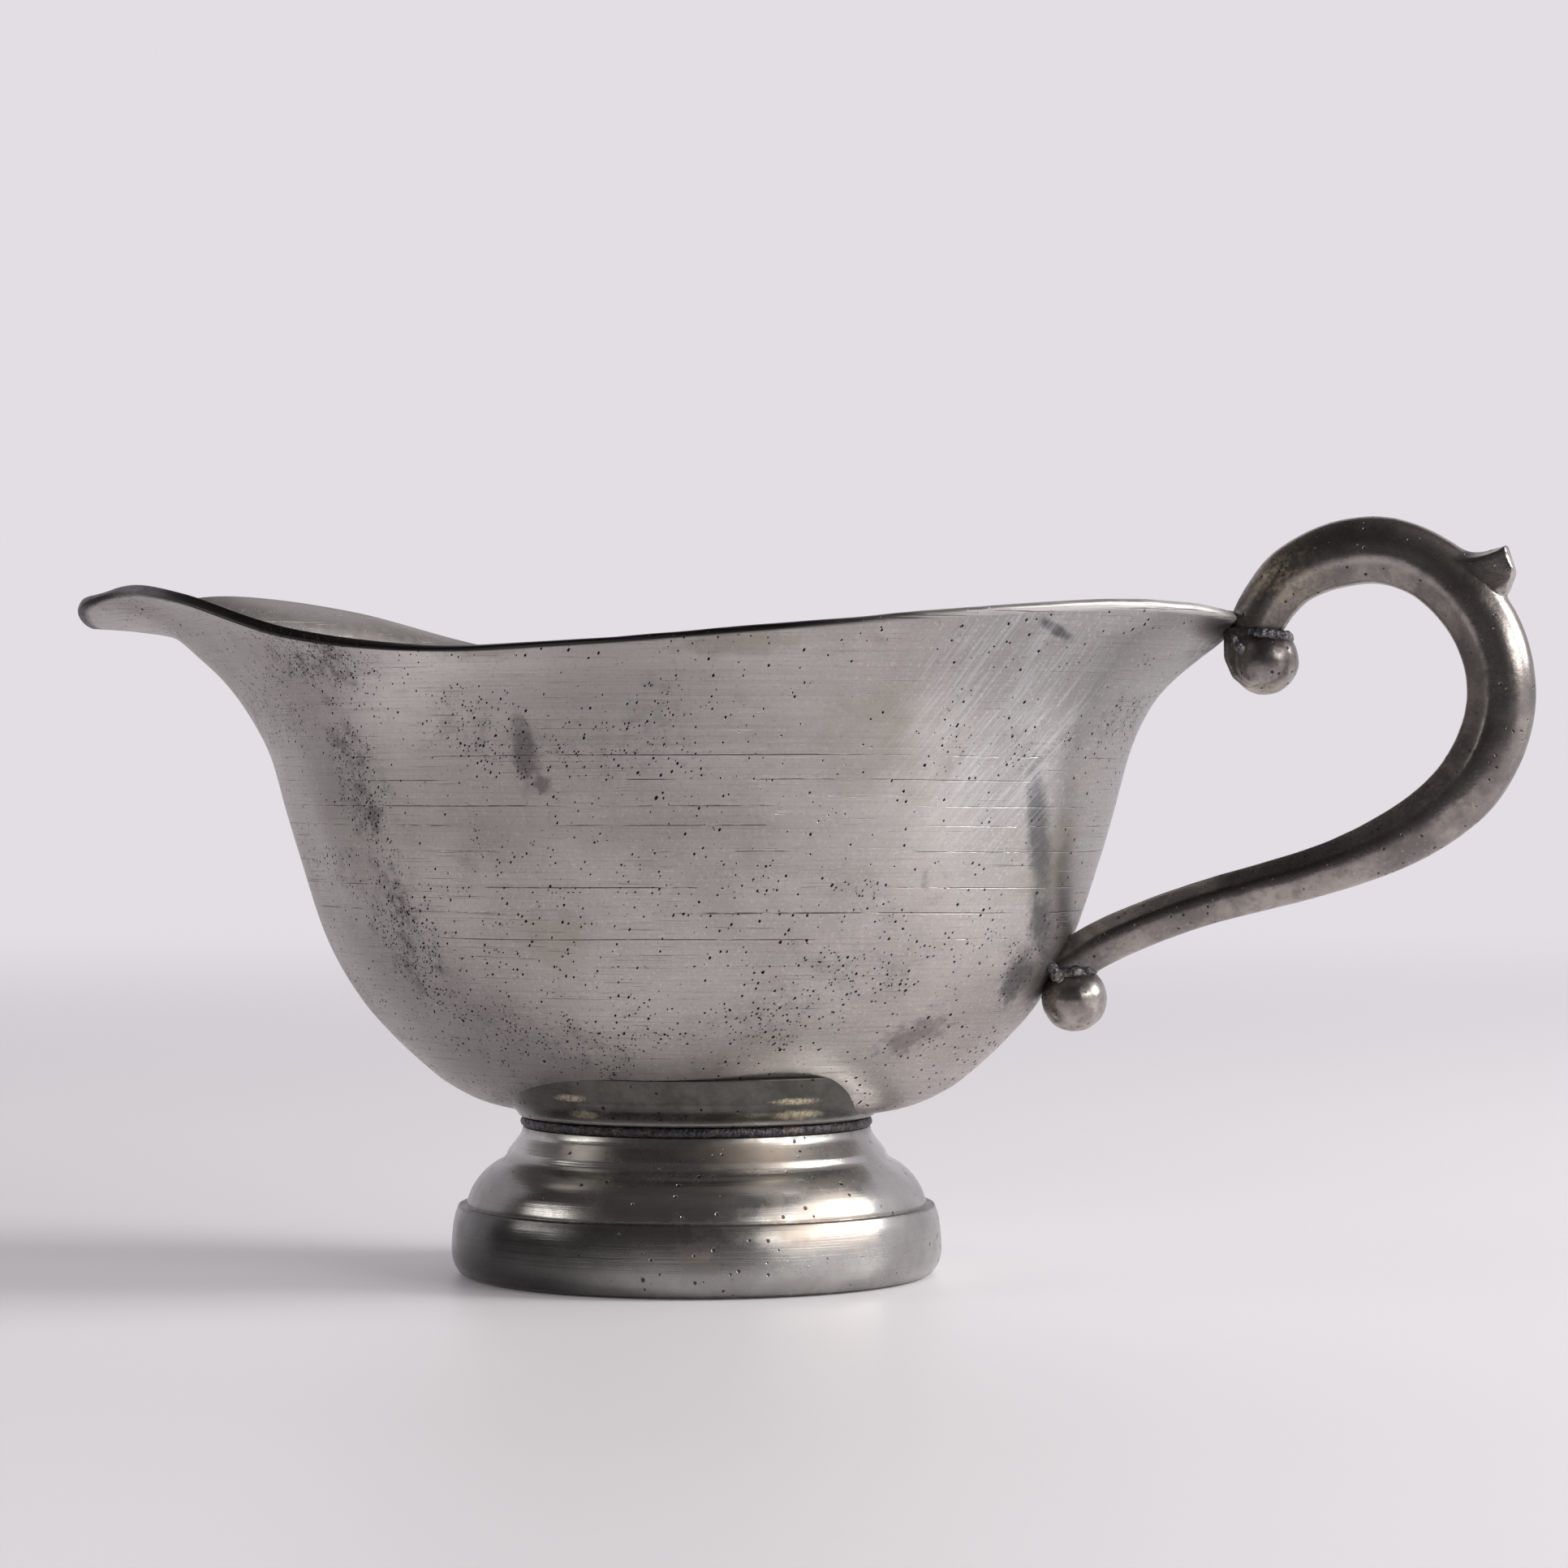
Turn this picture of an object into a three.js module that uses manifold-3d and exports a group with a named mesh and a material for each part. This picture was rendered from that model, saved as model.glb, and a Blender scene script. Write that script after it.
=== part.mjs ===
// A pewter sauce boat: a thin oval bowl with a pouring lip, raised on a turned round foot,
// with a cast scroll handle soldered to the back. Millimetres, +Z up. The lip points to -X,
// the handle to +X, and the plane Y = 0 is the plane of symmetry.
import * as THREE from "three";
import { mergeVertices } from "three/addons/utils/BufferGeometryUtils.js";
import Module from "manifold-3d";

const wasm = await Module();
wasm.setup();

// ---------------------------------------------------------------- driving dimensions
const GAP = 0.3; // left between a piece and the neighbour that it is cut to fit
const SOLDER = 0.9; // thickness of the solder in a handle joint
const FIT = 0.1; // radial clearance of the collar's spigot in the foot's neck

const BOWL_DEPTH = 65.2; // underside to the rim at the flank
const BOWL_SINK = 2.3; // how far the underside's middle lies below the top of the foot's seam
const BOWL_WIDTH = 93;
const LIP_REACH = 88.9; // foot axis to the tip of the lip
const BACK_REACH = 74.5; // foot axis to the rim at the handle
const BOWL_WALL = 1.5;
const QUARTER_TUCK = 0.1; // how far the bowl's bottom draws in between its long and short axes
const LIP_PINCH = 0.24; // how far the rim draws in behind the lip, as a share of its width
const LIP_PINCH_AT = 27; // degrees round the rim from the tip of the lip
const LIP_PINCH_SPREAD = 8.5; // degrees

const FOOT_RADIUS = 33.3;
const FOOT_HEIGHT = 20.2;
const NECK_RADIUS = 23.6;
const NECK_WALL = 1.1;
const FOOT_WALL = 1.7;
const FOOT_TREAD = 2; // width of the flat ring that the boat stands on
const SEAM_HEIGHT = 1.3; // solder between the foot's neck and the collar
const COLLAR_FLARE = 3.7; // how far the collar opens out from the neck
const COLLAR_WALL = 1.6;
const SPIGOT_DEPTH = 2.4;
const SEAT_SOLDER = 2.4; // width of the solder run round the inside of the spigot

const HANDLE_REACH = 39; // from the line between both joints to the grip's middle
const HANDLE_WIDTH = 8.9; // at the grip, in the plane of the handle
const HANDLE_THICKNESS = 7.7; // at the grip, across that plane
const LOWER_JOINT_RISE = 22.3; // over the bowl's underside
const UPPER_BALL_RADIUS = 4.5;
const LOWER_BALL_RADIUS = 4.4;
const ROOT_THICKNESS = 6.2; // of the block that ties the upper ball to the bowl
const THUMB_REST_WIDTH = 6;

const BOWL_SEGMENTS = 48;
const TURNED_SEGMENTS = 40;
const HANDLE_STEPS = 42;
const BALL_SEGMENTS = 16;

// ---------------------------------------------------------------- shape tables
// The bowl's outline in the lip, flank and handle planes, from the middle of the underside to
// the rim: [share of the reach or half-width, share of the depth]. Rows match in height.
const LIP_OUTLINE = [
  [0, 0], [0.136, 0.012], [0.226, 0.031], [0.271, 0.042], [0.339, 0.061],
  [0.389, 0.092], [0.425, 0.127], [0.48, 0.195], [0.534, 0.282], [0.582, 0.403],
  [0.62, 0.564], [0.6445, 0.672], [0.669, 0.78], [0.702, 0.858], [0.742, 0.925],
  [0.792, 0.983], [0.848, 1.037], [0.92, 1.056], [1, 1.064],
];
const FLANK_OUTLINE = [
  [0, 0], [0.206, 0.012], [0.335, 0.031], [0.406, 0.042], [0.475, 0.061],
  [0.535, 0.092], [0.585, 0.127], [0.667, 0.195], [0.752, 0.282], [0.825, 0.403],
  [0.888, 0.564], [0.918, 0.672], [0.946, 0.78], [0.957, 0.83], [0.966, 0.87],
  [0.975, 0.91], [0.983, 0.942], [0.992, 0.973], [1, 1],
];
const BACK_OUTLINE = [
  [0, 0], [0.16, 0.012], [0.266, 0.031], [0.319, 0.042], [0.399, 0.061],
  [0.46, 0.092], [0.504, 0.127], [0.569, 0.195], [0.634, 0.282], [0.69, 0.403],
  [0.739, 0.564], [0.767, 0.672], [0.793, 0.78], [0.816, 0.845], [0.845, 0.899],
  [0.881, 0.941], [0.92, 0.976], [0.965, 1.015], [1, 1.057],
];
// Height of the rim round the bowl, every 15 degrees from the lip to the handle.
const RIM_HEIGHTS = [
  1.064, 1.103, 1.127, 1.098, 1.021, 0.99, 1.002, 1.024, 1.047, 1.066, 1.077, 1.07, 1.057,
];
const RIM_SWELL_FROM = 0.6; // how far up the wall the rim's waves begin

// The foot's outer face from the table to the neck, and its hollow from the neck back down:
// [share of the way out from neck to widest radius, share of the height].
const FOOT_OUTLINE = [
  [0.742, 0], [0.887, 0.025], [0.969, 0.089], [1, 0.173], [0.979, 0.297], [0.928, 0.411],
  [0.866, 0.46], [0.794, 0.475], [0.784, 0.495], [0.753, 0.54], [0.691, 0.604],
  [0.577, 0.678], [0.433, 0.738], [0.289, 0.777], [0.237, 0.802], [0.206, 0.842],
  [0.113, 0.896], [0.031, 0.95], [0, 1],
];
const FOOT_HOLLOW = [[0.2, 0.72], [0.5, 0.62], [0.68, 0.5], [0.84, 0.4], [0.96, 0.18], [0.88, 0.06]];

// The collar's outer face over the seam: [share of the flare, share of the rise to the bowl].
const COLLAR_OUTLINE = [
  [-0.15, 0], [0.16, 0.07], [0.38, 0.18], [0.57, 0.3], [0.6, 0.36], [0.74, 0.58], [0.88, 0.8], [1, 1],
];

// The arm of the handle, from the lower joint up over the grip to the upper joint:
// [share of the way between the joints, share of the reach, share of the width].
const HANDLE_PATH = [
  [0.002, 0.004, 0.72], [0.032, 0.046, 0.69], [0.07, 0.09, 0.67], [0.104, 0.148, 0.67],
  [0.161, 0.277, 0.67], [0.208, 0.413, 0.67], [0.246, 0.555, 0.7], [0.284, 0.694, 0.73],
  [0.333, 0.826, 0.79], [0.398, 0.947, 0.88], [0.466, 1.023, 0.93], [0.544, 1.067, 0.98],
  [0.64, 1.071, 1], [0.744, 1.039, 1], [0.85, 0.97, 0.99], [0.966, 0.853, 0.98],
  [1.068, 0.705, 0.98], [1.15, 0.534, 0.97], [1.194, 0.362, 0.99], [1.182, 0.212, 0.97],
  [1.128, 0.1, 0.89], [1.061, 0.068, 0.82], [0.998, 0.063, 0.79], [0.947, 0.078, 0.74],
];

// Half of the arm's section, outside first: [share towards the outside, share across].
const ARM_SECTION = [
  [1, 0], [0.914, 0.407], [0.669, 0.743], [0.309, 0.951], [-0.087, 0.996], [-0.438, 0.9], [-1, 0.4],
];

// The thumb rest's sections from the arm to the nose. Each has a ridge, a near edge, a face and
// a foot, as [share between the joints, share of the reach, share of the half-width].
const THUMB_REST = [
  [[1.235, 0.415, 0], [1.195, 0.455, 0.75], [1.16, 0.48, 0.85], [1.13, 0.47, 0.8]],
  [[1.22, 0.549, 0], [1.176, 0.57, 1], [1.145, 0.59, 1.05], [1.115, 0.62, 0.95]],
  [[1.188, 0.662, 0], [1.163, 0.673, 0.95], [1.125, 0.7, 0.95], [1.09, 0.71, 0.9]],
  [[1.196, 0.735, 0], [1.18, 0.745, 1], [1.13, 0.78, 0.9], [1.07, 0.8, 0.8]],
  [[1.205, 0.768, 0], [1.2, 0.768, 1], [1.13, 0.842, 0.85], [1.07, 0.855, 0.7]],
];

// The root block of the upper ball, as shares of the ball's radius about its centre.
const ROOT_OUTLINE = [
  [-1.12, 0.9], [-1.13, 0.1], [-0.88, -0.5], [-0.4, -0.88], [0.2, -0.6], [0.2, 0.8], [-0.4, 1.1],
];

// ---------------------------------------------------------------- helpers
const radians = THREE.MathUtils.degToRad;
const splineOf = (rows) => new THREE.SplineCurve(rows.map(([x, y]) => new THREE.Vector2(x, y)));

/** The share of the way at which a rising function of 0 to 1 reaches a value. */
function shareWhere(rising, value) {
  let [low, high] = [0, 1];
  for (let i = 0; i < 40; i++) {
    const middle = (low + high) / 2;
    if (rising(middle) < value) low = middle;
    else high = middle;
  }
  return low;
}

const centreOf = (ring) =>
  ring.reduce((sum, p) => sum.add(p), new THREE.Vector3()).divideScalar(ring.length);

/** Closed skin through rings of equal length, each end closed on a point. */
function loft(rings, start = centreOf(rings[0]), end = centreOf(rings.at(-1))) {
  const around = rings[0].length;
  const points = [start, ...rings.flat(), end];
  const faces = [];
  const at = (ring, i) => 1 + ring * around + (i % around);
  for (let i = 0; i < around; i++) {
    faces.push(0, at(0, i + 1), at(0, i));
    for (let ring = 0; ring + 1 < rings.length; ring++) {
      faces.push(at(ring, i), at(ring, i + 1), at(ring + 1, i));
      faces.push(at(ring, i + 1), at(ring + 1, i + 1), at(ring + 1, i));
    }
    faces.push(points.length - 1, at(rings.length - 1, i), at(rings.length - 1, i + 1));
  }
  const geometry = new THREE.BufferGeometry().setFromPoints(points);
  geometry.setIndex(faces);
  return geometry;
}

/** A closed profile of [radius, height] points turned round the vertical axis. */
function turned(profile) {
  const points = profile.map(([r, h]) => new THREE.Vector2(r, h));
  points.push(points[0].clone());
  return new THREE.LatheGeometry(points, TURNED_SEGMENTS).rotateX(Math.PI / 2);
}

/** A three.js geometry as a manifold solid, facing out whichever way its outline ran. */
function solid(geometry) {
  const bare = geometry.clone();
  bare.deleteAttribute("normal");
  bare.deleteAttribute("uv");
  const merged = mergeVertices(bare, 1e-4);
  const vertProperties = new Float32Array(merged.attributes.position.array);
  const triVerts = new Uint32Array(merged.index.array);
  const made = new wasm.Manifold(new wasm.Mesh({ numProp: 3, vertProperties, triVerts }));
  if (made.volume() > 0) return made;
  triVerts.reverse();
  return new wasm.Manifold(new wasm.Mesh({ numProp: 3, vertProperties, triVerts }));
}

/** The largest body of a manifold solid, as a three.js geometry. */
function geometryOf(shape) {
  const body = shape.decompose().reduce((a, b) => (b.volume() > a.volume() ? b : a));
  const mesh = body.getMesh();
  const geometry = new THREE.BufferGeometry();
  geometry.setAttribute("position", new THREE.BufferAttribute(mesh.vertProperties, 3));
  geometry.setIndex(new THREE.BufferAttribute(mesh.triVerts, 1));
  return geometry;
}

/** An ellipsoid of three half-sizes about a centre, leaning by degrees in the XZ plane. */
function ellipsoid(centre, sizes, lean = 0) {
  return solid(
    new THREE.SphereGeometry(1, BALL_SEGMENTS, BALL_SEGMENTS / 2)
      .scale(...sizes)
      .rotateY(radians(lean))
      .translate(centre.x, centre.y, centre.z),
  );
}

// ---------------------------------------------------------------- bowl
const seamTop = FOOT_HEIGHT + SEAM_HEIGHT;
const bowlBase = seamTop - BOWL_SINK;
const lipCurve = splineOf(LIP_OUTLINE);
const flankCurve = splineOf(FLANK_OUTLINE);
const backCurve = splineOf(BACK_OUTLINE);
const rimCurve = splineOf(RIM_HEIGHTS.map((height, i) => [i, height]));

/** Outer face of the bowl: t runs from the underside to the rim, angle from lip to handle. */
function bowlSkin(t, angle) {
  const c = Math.cos(angle);
  const end = c > 0 ? lipCurve.getPoint(t) : backCurve.getPoint(t);
  const endRim = c > 0 ? LIP_OUTLINE.at(-1)[1] : BACK_OUTLINE.at(-1)[1];
  const flank = flankCurve.getPoint(t);
  const swell = Math.max(0, (t - RIM_SWELL_FROM) / (1 - RIM_SWELL_FROM)) ** 1.5;
  const turn = Math.abs(THREE.MathUtils.euclideanModulo(angle + Math.PI, 2 * Math.PI) - Math.PI);
  const rim = rimCurve.getPoint(turn / Math.PI).y;
  const evenRim = 1 + (endRim - 1) * c * c;
  const height = flank.y + (end.y - flank.y) * c * c + (rim - evenRim) * swell;
  const away = (turn - radians(LIP_PINCH_AT)) / radians(LIP_PINCH_SPREAD);
  const pinch = 1 - LIP_PINCH * swell * Math.exp((-away * away) / 2);
  const tuckFade = 1 - THREE.MathUtils.smoothstep(t, 0.25, 0.55);
  const tuck = 1 - QUARTER_TUCK * tuckFade * Math.sin(2 * angle) ** 2;
  return new THREE.Vector3(
    -end.x * (c > 0 ? LIP_REACH : BACK_REACH) * c * tuck,
    -flank.x * (BOWL_WIDTH / 2) * Math.sin(angle) * pinch * tuck,
    bowlBase + BOWL_DEPTH * height,
  );
}

/** Outward normal of the bowl's outer face. */
function bowlNormal(t, angle) {
  const step = 1e-3;
  const up = bowlSkin(Math.min(1, t + step), angle).sub(bowlSkin(Math.max(0, t - step), angle));
  const round = bowlSkin(t, angle + step).sub(bowlSkin(t, angle - step));
  return round.cross(up).normalize();
}

/** The bowl's wall between two offsets from its outer face, run on past the rim. */
function bowlWall(outside, inside, pastRim) {
  const rows = LIP_OUTLINE.slice(1).map((_, i) => (i + 1) / (LIP_OUTLINE.length - 1));
  const ring = (t, offset) =>
    Array.from({ length: BOWL_SEGMENTS }, (_, i) => {
      const angle = (2 * Math.PI * i) / BOWL_SEGMENTS;
      const point = bowlSkin(t, angle).addScaledVector(bowlNormal(t, angle), offset);
      const along = bowlSkin(1, angle).sub(bowlSkin(0.995, angle)).normalize();
      return t === 1 ? point.addScaledVector(along, pastRim) : point;
    });
  const outer = rows.map((t) => ring(t, outside));
  const inner = rows.map((t) => ring(t, inside)).reverse();
  return loft([...outer, ...inner]);
}

const bowlGrownBy = (grow) => solid(bowlWall(grow, -BOWL_WALL - grow, grow));
const bowlGeometry = bowlWall(0, -BOWL_WALL, 0);
const bowlClearance = bowlGrownBy(GAP);
const bowlJointClearance = bowlGrownBy(GAP + SOLDER + GAP);
const bowlSolderBed = bowlGrownBy(GAP + SOLDER).subtract(bowlClearance);

// ---------------------------------------------------------------- foot, seam and collar
const neckBore = NECK_RADIUS - NECK_WALL;
const spigot = neckBore - FIT;
const footSpread = FOOT_RADIUS - NECK_RADIUS;

const footGeometry = turned([
  [NECK_RADIUS + FOOT_OUTLINE[0][0] * footSpread - FOOT_TREAD, 0],
  ...FOOT_OUTLINE.map(([out, up]) => [NECK_RADIUS + out * footSpread, up * FOOT_HEIGHT]),
  [neckBore, FOOT_HEIGHT],
  [neckBore, FOOT_HEIGHT - SPIGOT_DEPTH - GAP],
  ...FOOT_HOLLOW.map(([out, up]) => [NECK_RADIUS + out * footSpread - FOOT_WALL, up * FOOT_HEIGHT]),
]);

/** Solder bead on the neck's top face, under the collar and outside its spigot. */
const seamSolid = solid(
  turned([
    [neckBore, FOOT_HEIGHT],
    [NECK_RADIUS, FOOT_HEIGHT],
    [NECK_RADIUS + 0.25, FOOT_HEIGHT + SEAM_HEIGHT / 2],
    [NECK_RADIUS, seamTop],
    [neckBore, seamTop],
  ]),
).subtract(bowlClearance);

const collarTop = NECK_RADIUS + COLLAR_FLARE;
const collarMeets = shareWhere((t) => -bowlSkin(t, Math.PI / 2).y, collarTop);
const collarRise = bowlSkin(collarMeets, Math.PI / 2).z + GAP - seamTop;

/** The collar: a flared ring on a spigot that drops into the neck, cut to the bowl. */
const collarSolid = solid(
  turned([
    [spigot - COLLAR_WALL, FOOT_HEIGHT - SPIGOT_DEPTH],
    [spigot, FOOT_HEIGHT - SPIGOT_DEPTH],
    [spigot, seamTop],
    ...COLLAR_OUTLINE.map(([out, up]) => [NECK_RADIUS + out * COLLAR_FLARE, seamTop + up * collarRise]),
    [collarTop - COLLAR_WALL, seamTop + collarRise],
    [spigot + COLLAR_FLARE * 0.6 - COLLAR_WALL, seamTop + collarRise * 0.4],
    [spigot - COLLAR_WALL, FOOT_HEIGHT],
  ]),
).subtract(bowlClearance);

/** Solder run round the inside of the spigot, under the bowl. */
const seatRadius = spigot - COLLAR_WALL - GAP;
const seatMeets = shareWhere((t) => bowlSkin(t, Math.PI).x, seatRadius);
const seatTop = bowlSkin(seatMeets, Math.PI).z + BOWL_WALL / 2;
const seatSolid = solid(
  turned([
    [seatRadius, FOOT_HEIGHT - SPIGOT_DEPTH + GAP],
    [seatRadius, seatTop],
    [seatRadius - SEAT_SOLDER, seatTop],
    [seatRadius - SEAT_SOLDER, FOOT_HEIGHT - SPIGOT_DEPTH / 2],
  ]),
).subtract(bowlClearance);

// ---------------------------------------------------------------- handle
const lowerMeets = shareWhere((t) => bowlSkin(t, Math.PI).z, bowlBase + LOWER_JOINT_RISE);
const lowerJoint = bowlSkin(lowerMeets, Math.PI);
const upperJoint = bowlSkin(1, Math.PI);

/** A point of the handle's plane, from its share between the joints and share of the reach. */
function handlePoint(share, reach) {
  return lowerJoint
    .clone()
    .lerp(upperJoint, share)
    .add(new THREE.Vector3(reach * HANDLE_REACH, 0, 0));
}

const armCurve = new THREE.CatmullRomCurve3(HANDLE_PATH.map(([share, reach]) => handlePoint(share, reach)));
const armWidths = splineOf(HANDLE_PATH.map(([, , width], i) => [i, width]));
const armRound = [
  ...ARM_SECTION,
  ...ARM_SECTION.slice(1).reverse().map(([out, across]) => [out, -across]),
];

/** The arm swept along its curve, with its sides and ends moved out by grow. */
function armGrownBy(grow) {
  const rings = Array.from({ length: HANDLE_STEPS + 1 }, (_, i) => {
    const t = i / HANDLE_STEPS;
    const along = armCurve.getTangent(t);
    const outwards = new THREE.Vector3(along.z, 0, -along.x);
    const width = armWidths.getPoint(t).y;
    const pastEnd = i === 0 ? -grow : i === HANDLE_STEPS ? grow : 0;
    const centre = armCurve.getPoint(t).addScaledVector(along, pastEnd);
    return armRound.map(([out, across]) =>
      centre
        .clone()
        .addScaledVector(outwards, out * ((width * HANDLE_WIDTH) / 2 + grow))
        .add(new THREE.Vector3(0, across * ((width * HANDLE_THICKNESS) / 2 + grow), 0)),
    );
  });
  return solid(loft(rings));
}

/** The thumb rest: a spur off the top of the arm that ends in a two-faced nose. */
function thumbRest() {
  const place = ([share, reach, across]) =>
    handlePoint(share, reach).add(new THREE.Vector3(0, (across * THUMB_REST_WIDTH) / 2, 0));
  const rings = THUMB_REST.map((section) => {
    const mirrored = section.slice(1).reverse().map(([share, reach, across]) => [share, reach, -across]);
    return [...section, ...mirrored].map(place);
  });
  const [share, reach] = THUMB_REST.at(-1)[2];
  return solid(loft(rings, undefined, handlePoint(share, reach)));
}

const upperBallAt = handlePoint(0.886, 0.158);
const lowerBallAt = handlePoint(-0.074, 0.118);
const ballGrownBy = (centre, radius, grow) => ellipsoid(centre, Array(3).fill(radius + grow));
const upperBallJoint = ballGrownBy(upperBallAt, UPPER_BALL_RADIUS, GAP + SOLDER + GAP);
const lowerBallJoint = ballGrownBy(lowerBallAt, LOWER_BALL_RADIUS, GAP + SOLDER + GAP);

const armSolid = armGrownBy(0)
  .add(thumbRest())
  .subtract(bowlJointClearance)
  .subtract(upperBallJoint)
  .subtract(lowerBallJoint);

/** The block that ties the upper ball to the bowl's underside. */
function rootBlock() {
  const outline = ROOT_OUTLINE.map(([out, up]) =>
    new THREE.Vector2(out, up).multiplyScalar(UPPER_BALL_RADIUS),
  );
  const depth = ROOT_THICKNESS;
  return solid(
    new THREE.ExtrudeGeometry(new THREE.Shape(outline), { depth, bevelEnabled: false })
      .translate(0, 0, -depth / 2)
      .rotateX(Math.PI / 2)
      .translate(upperBallAt.x, upperBallAt.y, upperBallAt.z),
  );
}

const upperBall = ballGrownBy(upperBallAt, UPPER_BALL_RADIUS, 0)
  .add(rootBlock().subtract(armGrownBy(GAP + SOLDER)))
  .subtract(bowlJointClearance);
const lowerBall = ballGrownBy(lowerBallAt, LOWER_BALL_RADIUS, 0).subtract(bowlJointClearance);

// ---------------------------------------------------------------- handle solder
/** Solder between an arm's end and its ball: a shell over the ball as wide as the arm. */
function ballSolder(centre, radius) {
  return ballGrownBy(centre, radius, GAP + SOLDER)
    .subtract(ballGrownBy(centre, radius, GAP))
    .intersect(armGrownBy(SOLDER / 6))
    .subtract(bowlJointClearance);
}

const upperSolderAt = upperJoint.clone().lerp(upperBallAt, 0.25);
const lowerSolderAt = lowerJoint.clone().add(new THREE.Vector3(0.7, 0, 1.4));
const upperSolder = ellipsoid(upperSolderAt, [3.4, 3.9, 3.4]).intersect(bowlSolderBed);
const lowerSolder = ellipsoid(lowerSolderAt, [4, 4.2, 5.2], 30).intersect(bowlSolderBed);

// ---------------------------------------------------------------- the assembly
const spun = new THREE.MeshStandardMaterial({ color: 0x9a9793, roughness: 0.36, metalness: 1 });
const turnedBright = new THREE.MeshStandardMaterial({ color: 0x8b8984, roughness: 0.28, metalness: 1 });
const cast = new THREE.MeshStandardMaterial({ color: 0x5f5c59, roughness: 0.3, metalness: 1 });
const solder = new THREE.MeshStandardMaterial({ color: 0x85878a, roughness: 0.6, metalness: 1 });

const boat = new THREE.Group();
const piece = (name, geometry, material) => {
  const mesh = new THREE.Mesh(geometry, material);
  mesh.name = name;
  boat.add(mesh);
};
piece("bowl", bowlGeometry, spun);
piece("foot", footGeometry, turnedBright);
piece("foot_solder", geometryOf(seamSolid), solder);
piece("collar", geometryOf(collarSolid), turnedBright);
piece("collar_solder", geometryOf(seatSolid), solder);
piece("handle", geometryOf(armSolid), cast);
piece("upper_ball", geometryOf(upperBall), cast);
piece("lower_ball", geometryOf(lowerBall), cast);
piece("upper_handle_solder", geometryOf(upperSolder), solder);
piece("lower_handle_solder", geometryOf(lowerSolder), solder);
piece("upper_ball_solder", geometryOf(ballSolder(upperBallAt, UPPER_BALL_RADIUS)), solder);
piece("lower_ball_solder", geometryOf(ballSolder(lowerBallAt, LOWER_BALL_RADIUS)), solder);

// The frame's origin is on the table under the middle of the whole boat.
const extent = new THREE.Box3().setFromObject(boat);
boat.position.x = -(extent.min.x + extent.max.x) / 2;
const wholeBoat = new THREE.Group();
wholeBoat.add(boat);

export default wholeBoat;
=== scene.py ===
"""The looks of a pewter sauce boat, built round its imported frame.

Shapes are worked out in millimetres and become metres when a mesh is made.
"""

import logging
import math
from dataclasses import dataclass, field
from enum import Enum
from typing import Any, Sequence

import bpy
import numpy as np
from bpy.types import Material, Mesh, NodeSocket, Object
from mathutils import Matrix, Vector, noise
from mathutils.bvhtree import BVHTree

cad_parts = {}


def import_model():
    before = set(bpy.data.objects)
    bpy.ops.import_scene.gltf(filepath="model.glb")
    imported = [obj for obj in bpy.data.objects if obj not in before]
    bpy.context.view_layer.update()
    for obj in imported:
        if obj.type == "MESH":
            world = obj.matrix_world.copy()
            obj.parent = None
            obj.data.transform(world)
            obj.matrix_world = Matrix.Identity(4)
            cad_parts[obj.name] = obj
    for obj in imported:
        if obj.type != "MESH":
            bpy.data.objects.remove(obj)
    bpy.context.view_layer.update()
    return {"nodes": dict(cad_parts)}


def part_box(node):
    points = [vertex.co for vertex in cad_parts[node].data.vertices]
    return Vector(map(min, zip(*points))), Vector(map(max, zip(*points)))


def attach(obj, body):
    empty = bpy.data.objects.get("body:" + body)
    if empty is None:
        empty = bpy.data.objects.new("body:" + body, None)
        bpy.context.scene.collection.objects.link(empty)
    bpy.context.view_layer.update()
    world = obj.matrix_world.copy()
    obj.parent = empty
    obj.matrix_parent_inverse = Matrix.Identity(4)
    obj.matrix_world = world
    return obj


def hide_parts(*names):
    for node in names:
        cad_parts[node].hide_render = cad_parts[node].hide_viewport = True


log = logging.getLogger("sauce_boat")

MM = 0.001
WELD = 1e-6
BODY = "root"

Row = tuple[float, ...]


class Slot(Enum):
    """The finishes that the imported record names."""

    SPUN = "spun_pewter"
    TURNED = "turned_pewter"
    CAST = "cast_pewter"
    SOLDER = "solder"


# ------------------------------------------------------------------ curves and fields
def smooth_rows(rows: Sequence[Row], share: np.ndarray) -> np.ndarray:
    """Reads a table as a smooth curve through its rows.

    Args:
        rows: the table, evenly spaced along the curve.
        share: how far along the curve to read, from 0 to 1.

    Returns:
        One interpolated row for each share.
    """
    table = np.asarray(rows, float)
    if table.ndim == 1:
        return smooth_rows(table[:, None], share)[..., 0]
    place = np.clip(share, 0, 1) * (len(table) - 1)
    index = np.floor(place).astype(int)
    rest = (place - index)[..., None]
    before, here, after, beyond = (
        table[np.clip(index + step, 0, len(table) - 1)] for step in (-1, 0, 1, 2)
    )
    leave, arrive = (after - before) / 2, (beyond - here) / 2
    cubic = 2 * here - 2 * after + leave + arrive
    square = -3 * here + 3 * after - 2 * leave - arrive
    return cubic * rest**3 + square * rest**2 + leave * rest + here


def smoothstep(value: np.ndarray, low: float, high: float) -> np.ndarray:
    """Rises smoothly from 0 at low to 1 at high."""
    share = np.clip((value - low) / (high - low), 0, 1)
    return share * share * (3 - 2 * share)


def unit(vectors: np.ndarray) -> np.ndarray:
    """The vectors brought to length 1."""
    return vectors / np.maximum(np.linalg.norm(vectors, axis=-1, keepdims=True), 1e-12)


def soft_noise(points: np.ndarray, period: float, seed: int) -> np.ndarray:
    """Smooth unevenness of a given size.

    Args:
        points: places in mm, one per row.
        period: the size of one swell, in mm.
        seed: which unevenness to use.

    Returns:
        About -1 to 1 at each place.
    """
    shift = Vector((17.3 * seed, -9.1 * seed, 5.7 * seed))
    return np.array([noise.noise(Vector(p) / period + shift) for p in points])


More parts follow.
